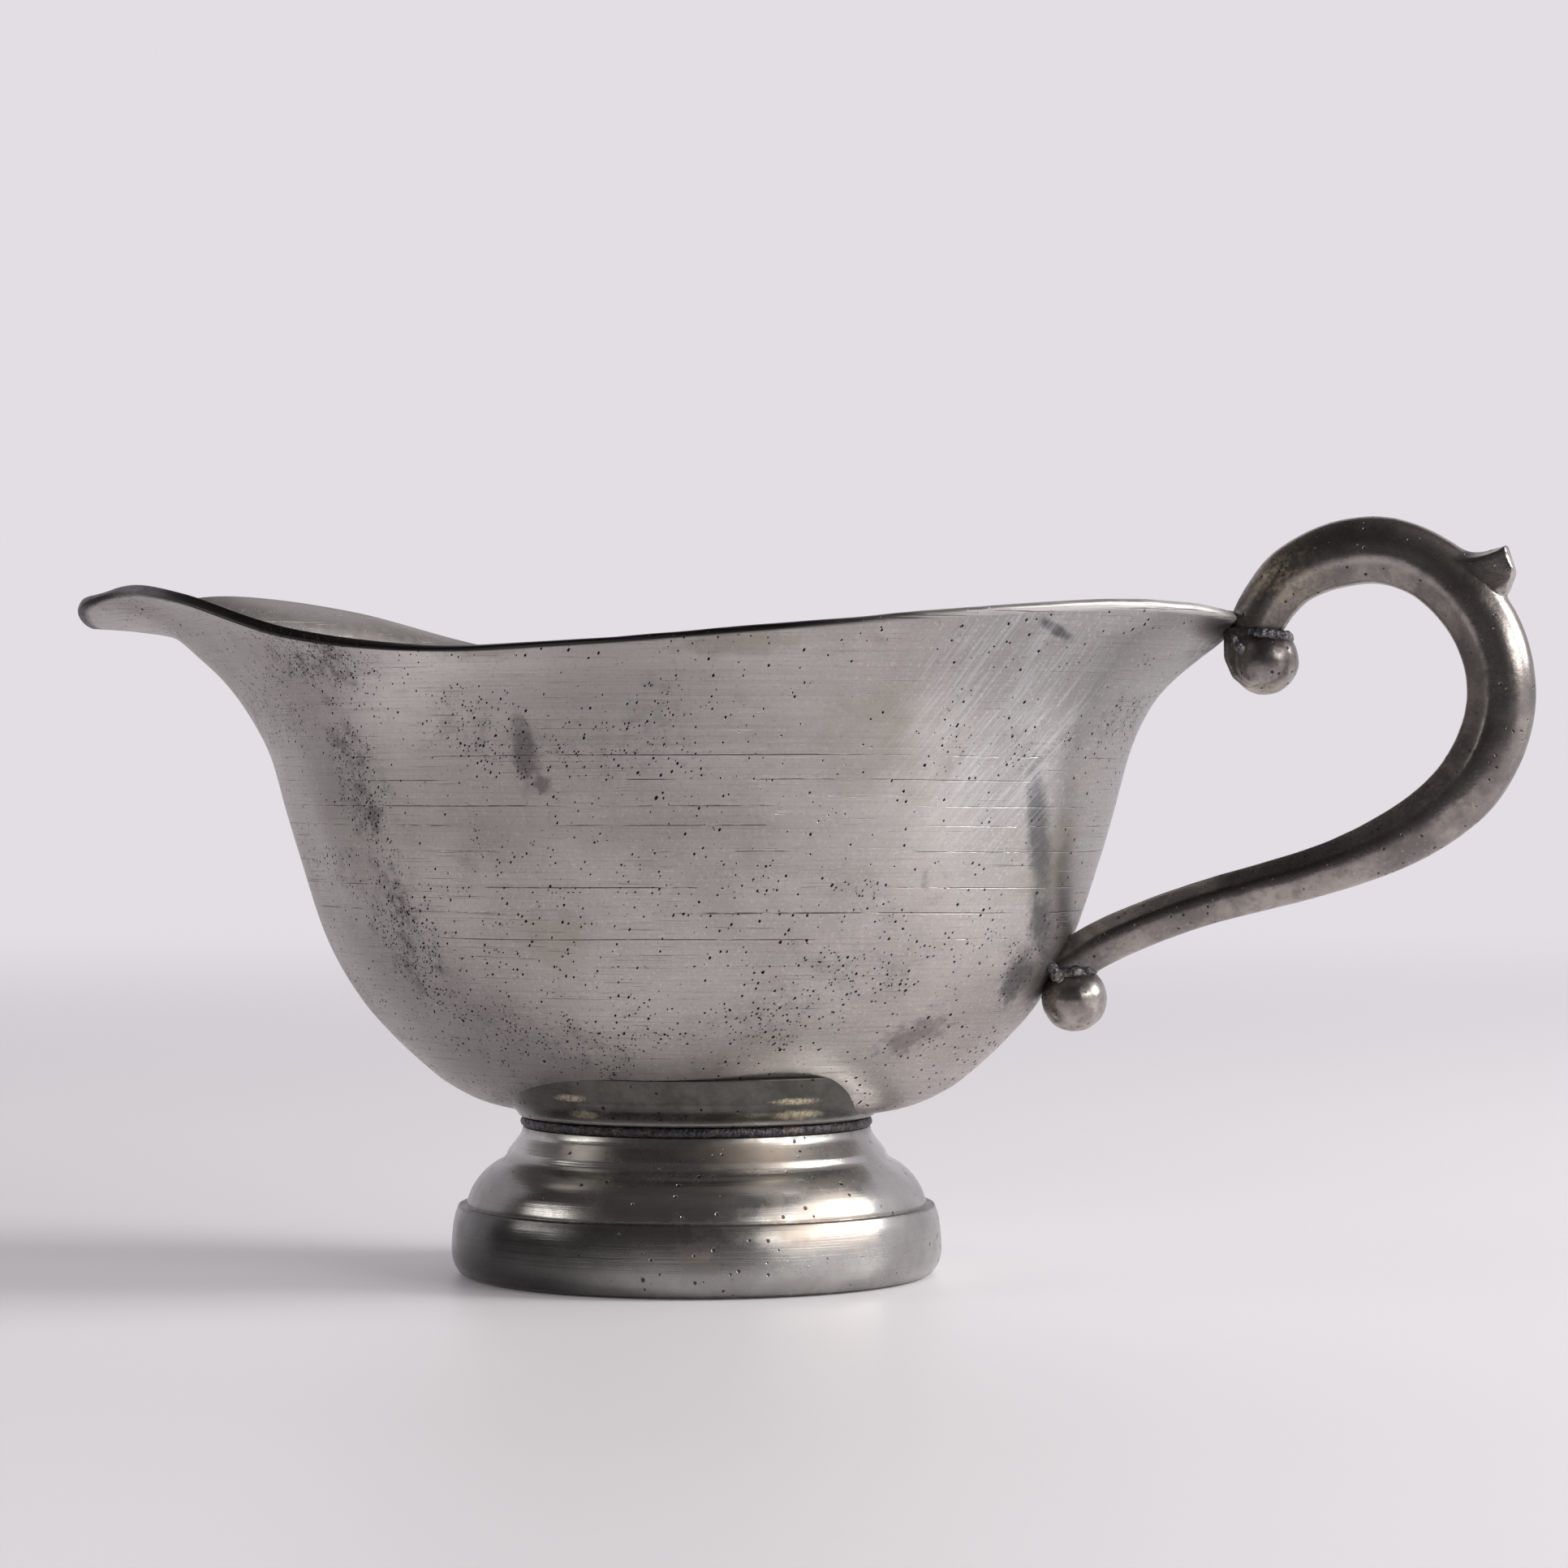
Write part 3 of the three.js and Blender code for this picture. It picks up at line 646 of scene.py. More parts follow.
@dataclass(frozen=True)
class TurnedPewter:
    """Brighter pewter of the foot and collar, with the turning tool's rings, brown stains, painted shade, a
    painted highlight and painted reflections.
    """

    pale: Row = (0.43, 0.42, 0.405)
    dull: Row = (0.30, 0.295, 0.285)
    brown: Row = (0.34, 0.27, 0.21)
    # the collar's painted shade, then gold, the colour of its painted reflections
    tarnish: Row = (0.072, 0.071, 0.062)
    gold: Row = (0.62, 0.54, 0.40)
    patch: Row = (0.30, 0.28, 0.265)
    ring: Row = (0.28, 0.26, 0.25)
    # painted shade on the foot towards the lip, then a painted highlight on its shoulder
    shade: Row = (0.06, 0.059, 0.058)
    middle: Row = (0.62, 0.60, 0.57)
    # dirt with painted shade, in the foot's creases and tread
    grime_and_shade: Row = (0.06, 0.055, 0.052)
    pit: Row = (0.03, 0.028, 0.027)

    def make(self, axis: float, foot_top: float) -> Material:
        """Builds the finish.

        Args:
            axis: the foot's place along the boat, in mm.
            foot_top: the foot's height, in mm.

        Returns:
            The material.
        """
        g = FinishGraph("turned_pewter_bright")
        clouds = g.grain(16, 4, 0.6, shift=2)
        mottle = g.grain(3.5, 4, 0.7, shift=4)
        rings = g.grain((40, 40, 0.22), 3, 0.7, shift=6)
        base = g.mix(g.between(clouds, 0.4, 0.68), self.pale, self.dull)
        base = g.mix(g.times(g.between(mottle, 0.5, 0.8), 0.5), base, self.patch)
        base = g.mix(g.times(g.between(rings, 0.5, 0.8), 0.45), base, self.ring)

        # painted shade darkens the foot towards the lip, and a painted highlight makes it paler in the middle
        # of its shoulder
        east, high = g.level(0), g.level(2)
        shade = g.times(g.between(east, axis + 6, axis - 13), g.between(high, 17.5, 15.5))
        base = g.mix(g.times(shade, g.between(high, 10.5, 9.0, 0.6, 0.93)), base, self.shade)
        middle = g.times(g.between(east, axis - 16, axis - 8), g.between(east, axis + 22, axis + 14),
                         g.between(high, 9.2, 10))
        base = g.mix(g.times(middle, 0.5), base, self.middle)
        stain = g.most(
            g.spot((axis + 14, -22, foot_top - 2.0), (13, 10, 2.6), ragged=0.6),
            g.spot((axis + 22, -20, 9), (9, 12, 5), ragged=0.9),
            g.between(g.grain(11, 4, 0.65, shift=8), 0.62, 0.74),
        )
        base = g.mix(g.times(stain, 0.6), base, self.brown)
        pits = g.pits(*g.cells(1.1, 3), g.between(clouds, 0.4, 0.7, 0.04, 0.3), 0.2, 0.12)

        # the collar's painted shade, which stands for dark reflections, and warm patches that stand for
        # reflections in it
        tarnish = g.times(g.painted("tarnish"), g.between(mottle, 0.3, 0.7, 0.98, 0.85))
        base = g.mix(tarnish, base, self.tarnish)
        # warm patches painted on the collar as reflections
        painted_glints = g.most(
            g.spot((axis - 10.2, -24, 25.3), (3.0, 5, 0.6), ragged=0.4),
            g.spot((axis - 8.6, -23.5, 23.1), (2.9, 5, 0.7), ragged=0.4),
            g.spot((axis + 18.2, -17, 25.0), (3.6, 6, 0.6), ragged=0.4),
            g.spot((axis + 18.4, -16, 23.1), (3.7, 6, 0.9), ragged=0.4),
        )
        painted_glints = g.times(painted_glints, g.between(g.grain(0.5, 3, 0.7, shift=13), 0.4, 0.55, 0.35, 0.9))
        base = g.mix(painted_glints, base, self.gold)
        # dirt with painted shade at the seam, the step, the tread and the collar's brim
        grime_and_shade = g.times(g.painted("grime_and_shade"), g.between(g.grain(1.8, 4, 0.7, shift=9), 0.2, 0.55))
        base = g.mix(g.times(grime_and_shade, 0.85), base, self.grime_and_shade)
        base = g.mix(g.times(pits, 0.85), base, self.pit)
        rough = g.math("ADD", g.between(clouds, 0.3, 0.7, 0.2, 0.28), g.between(mottle, 0.4, 0.8, 0.0, 0.08))
        rough = g.math("ADD", rough, g.times(g.most(pits, grime_and_shade, stain), 0.16), clamp=True)
        normal = g.bump(g.grain(9, 2, 0.5, shift=10), 0.12, 0.5)
        normal = g.bump(rings, 0.03, 0.7, normal)
        normal = g.bump(mottle, 0.02, 0.6, normal)
        normal = g.bump(g.math("SUBTRACT", 1.0, pits), 0.1, 0.8, normal)
        return g.finish(base, rough, normal)


@dataclass(frozen=True)
class CastPewter:
    """Darker cast pewter of the handle and its balls, scuffed pale where it is held, with painted highlights
    and painted shade.
    """

    pale: Row = (0.40, 0.365, 0.34)
    dark: Row = (0.19, 0.175, 0.165)
    gold: Row = (0.55, 0.45, 0.31)
    # painted shade on the handle
    shade: Row = (0.10, 0.093, 0.088)
    patch: Row = (0.17, 0.155, 0.145)
    glint: Row = (0.52, 0.48, 0.45)
    # pale scuffing, also the colour of painted highlights
    worn_and_lit: Row = (0.60, 0.56, 0.53)
    # dirt with painted shade, at the joints and on the balls' tops
    grime_and_shade: Row = (0.045, 0.04, 0.038)
    pit: Row = (0.03, 0.028, 0.026)

    def make(self) -> Material:
        """Builds the finish, which reads the scuffing with painted highlights, the painted shade, the gold,
        and the dirt with painted shade stored on the mesh.

        Returns:
            The material.
        """
        g = FinishGraph("cast_pewter_gunmetal")
        clouds = g.grain(9, 4, 0.6, shift=3)
        mottle = g.grain(1.7, 4, 0.7, shift=5)
        fine = g.grain(0.45, 3, 0.6, shift=6)
        base = g.mix(g.between(clouds, 0.36, 0.66), self.pale, self.dark)
        base = g.mix(g.times(g.between(mottle, 0.46, 0.7), 0.6), base, self.patch)
        base = g.mix(g.times(g.between(fine, 0.55, 0.75), 0.4), base, self.glint)
        # scuffing on the ridges, and painted highlights on the handle's crown and low on the balls
        worn_and_lit = g.times(g.painted("wear_and_highlight"), g.between(g.grain(2.2, 4, 0.7, shift=8), 0.3, 0.62))
        base = g.mix(g.times(worn_and_lit, 0.65), base, self.worn_and_lit)
        # painted shade on the handle's inner side and on the outer side of its arc
        base = g.mix(g.painted("shade"), base, self.shade)
        gold = g.times(g.painted("gold"), g.between(g.grain(0.7, 3, 0.7, shift=12), 0.42, 0.62))
        base = g.mix(g.times(gold, 0.7), base, self.gold)
        pits = g.pits(*g.cells(0.8, 4), g.between(clouds, 0.4, 0.7, 0.1, 0.38), 0.22, 0.14)
        # dirt with painted shade at the joints and on the balls' tops
        grime_and_shade = g.times(g.painted("grime_and_shade"), g.between(g.grain(1.3, 4, 0.7, shift=9), 0.2, 0.55))
        base = g.mix(g.times(grime_and_shade, 0.85), base, self.grime_and_shade)
        base = g.mix(g.times(pits, 0.8), base, self.pit)
        rough = g.math("ADD", g.between(clouds, 0.3, 0.7, 0.22, 0.3), g.between(mottle, 0.4, 0.75, 0.0, 0.09))
        rough = g.math("ADD", rough, g.times(g.most(pits, grime_and_shade, gold), 0.2), clamp=True)
        normal = g.bump(g.grain(5, 2, 0.5, shift=15), 0.16, 0.6)
        normal = g.bump(mottle, 0.05, 0.6, normal)
        normal = g.bump(fine, 0.02, 0.6, normal)
        normal = g.bump(g.math("SUBTRACT", 1.0, pits), 0.1, 0.8, normal)
        return g.finish(base, rough, normal)


@dataclass(frozen=True)
class SolderCrust:
    """Pale, grainy, slightly blue solder with dark hollows between its grains."""

    pale: Row = (0.27, 0.275, 0.29)
    dark: Row = (0.07, 0.068, 0.07)
    warm: Row = (0.36, 0.32, 0.27)

    def make(self, name: str) -> Material:
        """Builds the finish under a name."""
        g = FinishGraph(name)
        lumps = g.grain(0.9, 4, 0.75, shift=2)
        patches = g.grain(3.5, 3, 0.6, shift=4)
        away, _ = g.cells(0.38, 6)
        base = g.mix(g.between(lumps, 0.36, 0.58), self.dark, self.pale)
        base = g.mix(g.times(g.between(patches, 0.52, 0.66), 0.6), base, self.warm)
        base = g.mix(g.between(away, 0.3, 0.62, 0.0, 0.5), base, self.dark)
        rough = g.between(lumps, 0.3, 0.7, 0.62, 0.36)
        normal = g.bump(lumps, 0.25, 0.8)
        normal = g.bump(g.math("SUBTRACT", 1.0, away), 0.12, 0.8, normal)
        return g.finish(base, rough, normal)


# ------------------------------------------------------------------ the bowl
@dataclass
class BowlForm:
    """The bowl's outer face, in mm, as the CAD source gives it.

    Only back_tuck is not in that source: it draws the underside in more on the handle's side.
    """

    axis: float
    base: float = 19.2
    depth: float = 65.2
    width: float = 93.0
    lip_reach: float = 88.9
    back_reach: float = 74.5
    tuck: float = 0.1
    back_tuck: float = 0.12
    pinch: float = 0.24
    pinch_at: float = 27.0
    pinch_spread: float = 8.5
    swell_from: float = 0.6
    lip: tuple[Row, ...] = (
        (0, 0), (0.136, 0.012), (0.226, 0.031), (0.271, 0.042), (0.339, 0.061),
        (0.389, 0.092), (0.425, 0.127), (0.48, 0.195), (0.534, 0.282), (0.582, 0.403),
        (0.62, 0.564), (0.6445, 0.672), (0.669, 0.78), (0.702, 0.858), (0.742, 0.925),
        (0.792, 0.983), (0.848, 1.037), (0.92, 1.056), (1, 1.064),
    )
    flank: tuple[Row, ...] = (
        (0, 0), (0.206, 0.012), (0.335, 0.031), (0.406, 0.042), (0.475, 0.061),
        (0.535, 0.092), (0.585, 0.127), (0.667, 0.195), (0.752, 0.282), (0.825, 0.403),
        (0.888, 0.564), (0.918, 0.672), (0.946, 0.78), (0.957, 0.83), (0.966, 0.87),
        (0.975, 0.91), (0.983, 0.942), (0.992, 0.973), (1, 1),
    )
    back: tuple[Row, ...] = (
        (0, 0), (0.16, 0.012), (0.266, 0.031), (0.319, 0.042), (0.399, 0.061),
        (0.46, 0.092), (0.504, 0.127), (0.569, 0.195), (0.634, 0.282), (0.69, 0.403),
        (0.739, 0.564), (0.767, 0.672), (0.793, 0.78), (0.816, 0.845), (0.845, 0.899),
        (0.881, 0.941), (0.92, 0.976), (0.965, 1.015), (1, 1.057),
    )
    rim: Row = (1.064, 1.103, 1.127, 1.098, 1.021, 0.99, 1.002, 1.024, 1.047, 1.066, 1.077, 1.07, 1.057)

    def skin(self, rise: np.ndarray, angle: np.ndarray) -> np.ndarray:
        """Points of the outer face.

        Args:
            rise: 0 at the middle of the underside, 1 at the rim.
            angle: 0 at the lip, pi at the handle, in radians.

        Returns:
            Points in mm in the frame.
        """
        rise, angle = np.broadcast_arrays(np.asarray(rise, float), np.asarray(angle, float))
        along = np.cos(angle)
        forward = along > 0
        end = np.where(forward[..., None], smooth_rows(self.lip, rise), smooth_rows(self.back, rise))
        end_rim = np.where(forward, self.lip[-1][1], self.back[-1][1])
        flank = smooth_rows(self.flank, rise)
        swell = np.maximum(0, (rise - self.swell_from) / (1 - self.swell_from)) ** 1.5
        turn = np.abs((angle + math.pi) % (2 * math.pi) - math.pi)
        rim = smooth_rows(self.rim, turn / math.pi)
        waves = (rim - (1 + (end_rim - 1) * along**2)) * swell
        height = flank[..., 1] + (end[..., 1] - flank[..., 1]) * along**2 + waves
        away = (np.degrees(turn) - self.pinch_at) / self.pinch_spread
        pinch = 1 - self.pinch * swell * np.exp(-(away**2) / 2)
        drawn = self.tuck + self.back_tuck * ~forward
        tuck = 1 - drawn * (1 - smoothstep(rise, 0.25, 0.55)) * np.sin(2 * angle) ** 2
        reach = np.where(forward, self.lip_reach, self.back_reach)
        x = self.axis - end[..., 0] * reach * along * tuck
        y = -flank[..., 0] * self.width / 2 * np.sin(angle) * pinch * tuck
        return np.stack([x, y, self.base + self.depth * height], -1)

    def normal(self, rise: np.ndarray, angle: np.ndarray) -> np.ndarray:
        """Outward normals of the outer face."""
        step = 1e-3
        up = self.skin(np.minimum(1, rise + step), angle) - self.skin(np.maximum(0, rise - step), angle)
        round_ = self.skin(rise, angle + step) - self.skin(rise, angle - step)
        return unit(np.cross(round_, up))

    def rise_at(self, height: float, angle: float) -> float:
        """How far up the wall the face reaches a height in mm at an angle."""
        low, high = 0.0, 1.0
        for _ in range(40):
            middle = (low + high) / 2
            if self.skin(middle, angle)[2] < height:
                low = middle
            else:
                high = middle
        return low


@dataclass
class Bowl:
    """The spun bowl with its pouring lip and filed rim."""

    form: BowlForm
    wall: float = 1.5
    around: int = 320
    outer_rows: int = 110
    inner_rows: int = 70
    edge: tuple[Row, ...] = (
        (0.1, 0.02), (0.26, 0.14), (0.34, 0.34), (0.36, 0.75), (0.3, 1.16), (0.2, 1.36), (0.06, 1.47),
    )

    def build(self) -> Object:
        """Makes the closed shell: outer face, rim edge, inner face.

        Returns:
            The bowl, painted for its finish.
        """
        form = self.form
        angle = np.linspace(0, 2 * math.pi, self.around, endpoint=False)[None, :]
        outer = np.linspace(0.02, 1, self.outer_rows)[:, None]
        inner = np.linspace(1, 0.02, self.inner_rows)[:, None]
        skin = form.skin(outer, angle) + self.dents(form.skin(outer, angle)) * form.normal(outer, angle)
        rim_out = form.normal(np.ones((1, 1)), angle)
        rim_up = unit(form.skin(1, angle) - form.skin(0.995, angle))
        edge = np.concatenate(
            [form.skin(np.ones((1, 1)), angle) + rim_up * up - rim_out * deep for up, deep in self.edge]
        )
        edge = edge + soft_noise(edge.reshape(-1, 3), 7, 5).reshape(*edge.shape[:2], 1) * 0.12 * rim_up
        lining = form.skin(inner, angle) - self.wall * form.normal(inner, angle)
        piece = make_loft("bowl_spun", np.concatenate([skin, edge, lining]))
        self.mark(piece)
        return piece

    @staticmethod
    def dents(points: np.ndarray) -> np.ndarray:
        """Shallow hand-made unevenness of the wall, in mm."""
        flat = points.reshape(-1, 3)
        low = soft_noise(flat, 24, 1) * 0.14 + soft_noise(flat, 9, 2) * 0.03
        return low.reshape(*points.shape[:2], 1)

    def mark(self, piece: Object) -> None:
        """Paints the rim's edge, its scuffed stretch that gets a painted highlight, the inside, and dirt with
        painted shade at the joints, with a painted shadow above the collar.

        Args:
            piece: the bowl.
        """
        mesh = piece.data
        count = len(mesh.vertices)
        ring = np.minimum(np.arange(count) // self.around, self.outer_rows + len(self.edge) + self.inner_rows)
        on_edge = (ring >= self.outer_rows) & (ring < self.outer_rows + len(self.edge))
        on_edge |= np.isin(ring, (self.outer_rows - 1, self.outer_rows - 2))
        paint(mesh, "rim_edge", on_edge.astype(float))
        places = read_points(mesh) / MM
        from_back = places[:, 0] - self.form.axis
        # the scuffed stretch of the rim towards the handle, which gets a painted highlight
        paint(mesh, "rim_worn_and_lit", smoothstep(from_back, 22, 52) * (places[:, 1] < 6))
        upper = self.form.skin(0.97, math.pi)
        lower = self.form.skin(self.form.rise_at(42.0, math.pi), math.pi)
        near_upper = np.exp(-((np.linalg.norm(places - upper, axis=1) / 6.5) ** 2))
        near_lower = np.exp(-((np.linalg.norm((places - lower) * (1, 1, 0.8), axis=1) / 6.5) ** 2))
        out = np.hypot(from_back, places[:, 1])
        # a painted shadow on the bowl just above the collar's edge
        seam = np.exp(-(((out - 27) / 1.1) ** 2)) * (places[:, 2] < 29) * 0.25
        inside = ring >= self.outer_rows + len(self.edge)
        paint(mesh, "inside", inside.astype(float))
        paint(mesh, "grime_and_shade", np.clip(near_upper + near_lower + seam * ~inside, 0, 1))


# ------------------------------------------------------------------ turned pieces
class GeometryTree(NodeLayout):
    """A geometry tree that bends a grid into a closed piece and dresses it."""

    def __init__(self, name: str, inputs: dict[str, str]) -> None:
        """Starts the tree.

        Args:
            name: the tree's name.
            inputs: the kind of each named input.
        """
        self.tree = bpy.data.node_groups.new(name, "GeometryNodeTree")
        face = self.tree.interface
        for label, kind in inputs.items():
            face.new_socket(label, in_out="INPUT", socket_type="NodeSocket" + kind)
        face.new_socket("Piece", in_out="OUTPUT", socket_type="NodeSocketGeometry")
        self.given = self.node("NodeGroupInput").outputs
        self.position = self.node("GeometryNodeInputPosition").outputs[0]

    def math(self, operation: str, a: Any, b: Any = 0.0) -> NodeSocket:
        """One step of arithmetic."""
        return self.node("ShaderNodeMath", {0: a, 1: b}, operation=operation).outputs[0]

    def split(self, vector: NodeSocket) -> Any:
        """The three parts of a vector."""
        return self.node("ShaderNodeSeparateXYZ", {0: vector}).outputs

    def sampled(self, geometry: NodeSocket, value: NodeSocket, index: NodeSocket, kind: str) -> NodeSocket:
        """A value read from one vertex of a geometry."""
        inputs = {"Geometry": geometry, "Index": index}
        step = self.node("GeometryNodeSampleIndex", inputs, data_type=kind, domain="POINT")
        self.tree.links.new(value, step.inputs["Value"])
        return step.outputs[0]

    def grid(self, columns: NodeSocket, rows: NodeSocket) -> tuple[NodeSocket, NodeSocket, NodeSocket]:
        """A flat grid to bend.

        Args:
            columns: how many vertices it has along its first side.
            rows: how many it has along its second side.

        Returns:
            The grid, and each vertex's share of the way along both sides.
        """
        inputs = {"Size X": 1.0, "Size Y": 1.0, "Vertices X": columns, "Vertices Y": rows}
        where = self.split(self.position)
        made = self.node("GeometryNodeMeshGrid", inputs).outputs["Mesh"]
        return made, self.math("ADD", where[0], 0.5), self.math("ADD", where[1], 0.5)

    def end(self, grid: NodeSocket, places: NodeSocket) -> None:
        """Moves the grid's vertices to their places, welds its edges and gives it the finish."""
        bent = self.node("GeometryNodeSetPosition", {"Geometry": grid, "Position": places})
        weld = self.node("GeometryNodeMergeByDistance", {"Geometry": bent.outputs[0], "Distance": WELD})
        real = self.node("GeometryNodeRealizeInstances", {0: weld.outputs[0]})
        inputs = {"Geometry": real.outputs[0], "Material": self.given["Finish"]}
        dressed = self.node("GeometryNodeSetMaterial", inputs)
        self.node("NodeGroupOutput", {"Piece": dressed.outputs[0]})


class TurningTree(GeometryTree):
    """Turns a closed profile round the foot's axis."""

    def __init__(self) -> None:
        """Lays out the tree once for every turned piece."""
        super().__init__("turning", {
            "Profile": "Geometry", "Profile Points": "Int", "Steps": "Int", "Axis": "Float",
            "Chatter": "Float", "Finish": "Material",
        })
        given, math_ = self.given, self.math
        grid, around, along = self.grid(
            math_("ADD", given["Steps"], 1), math_("ADD", given["Profile Points"], 1))
        row = math_("ROUND", math_("MULTIPLY", along, given["Profile Points"]))
        row = math_("MODULO", row, given["Profile Points"])
        point = self.split(self.sampled(given["Profile"], self.position, row, "FLOAT_VECTOR"))
        angle = math_("MULTIPLY", around, 2 * math.pi)
        east, north = math_("COSINE", angle), math_("SINE", angle)
        circle = self.node("ShaderNodeCombineXYZ", {0: east, 1: north, 2: math_("MULTIPLY", point[2], 120)})
        uneven = self.node("ShaderNodeTexNoise", {"Vector": circle.outputs[0], "Scale": 2.2}).outputs["Fac"]
        shake = math_("MULTIPLY", math_("SUBTRACT", uneven, 0.5), given["Chatter"])
        out = math_("ADD", point[0], shake)
        x = math_("ADD", math_("MULTIPLY", out, east), given["Axis"])
        places = self.node("ShaderNodeCombineXYZ", {0: x, 1: math_("MULTIPLY", out, north), 2: point[2]})
        self.end(grid, places.outputs[0])

    def turn(self, name: str, profile: np.ndarray, axis: float, steps: int, chatter: float,
             finish: Material) -> Object:
        """Turns one piece.

        Args:
            name: the piece's name.
            profile: closed outline of (radius, height) in mm.
            axis: the foot's place along the boat, in mm.
            steps: facets round the piece.
            chatter: how far the tool wandered, in mm.
            finish: the material that the piece gets.

        Returns:
            The turned piece as a plain mesh object.
        """
        points = np.stack([profile[:, 0], np.zeros(len(profile)), profile[:, 1]], -1) * MM
        edges = [(i, (i + 1) % len(points)) for i in range(len(points))]
        mesh = bpy.data.meshes.new(name + "_profile")
        mesh.from_pydata(points.tolist(), edges, [])
        holder = bpy.data.objects.new(name + "_profile", mesh)
        bpy.context.scene.collection.objects.link(holder)
        sizes = {"Profile Points": len(points), "Steps": steps, "Axis": axis * MM,
                 "Chatter": chatter * MM, "Finish": finish}
        return grow(holder, self.tree, sizes, name)


def grow(holder: Object, tree: Any, sizes: dict[str, Any], name: str) -> Object:
    """Runs a geometry tree on an object and keeps the result as a plain piece.

    Args:
        holder: the object that the tree starts from, which is used up.
        tree: the geometry tree.
        sizes: its named inputs.
        name: the new piece's name.

    Returns:
        The plain mesh object.
    """
    modifier = holder.modifiers.new("grow", "NODES")
    modifier.node_group = tree
    sockets = {item.name: item.identifier for item in tree.interface.items_tree
               if item.item_type == "SOCKET" and item.in_out == "INPUT"}
    for key, value in sizes.items():
        modifier[sockets[key]] = value
    holder.update_tag()
    bpy.context.view_layer.update()
    graph = bpy.context.evaluated_depsgraph_get()
    mesh = bpy.data.meshes.new_from_object(holder.evaluated_get(graph))
    bpy.data.objects.remove(holder)
    mesh.name = name
    return link(name, mesh)


def rounded(outline: Sequence[Row], radius: float, steps: int = 3) -> np.ndarray:
    """Closed outline with each corner rounded by about a radius, both in mm."""
    points = np.asarray(outline, float)
    made = []
    for before, here, after in zip(np.roll(points, 1, 0), points, np.roll(points, -1, 0)):
        back, on = before - here, after - here
        cut = min(radius, 0.42 * np.linalg.norm(back), 0.42 * np.linalg.norm(on))
        start, end = here + unit(back) * cut, here + unit(on) * cut
        for share in np.linspace(0, 1, steps + 1):
            made.append((1 - share) ** 2 * start + 2 * share * (1 - share) * here + share**2 * end)
    return np.array(made)


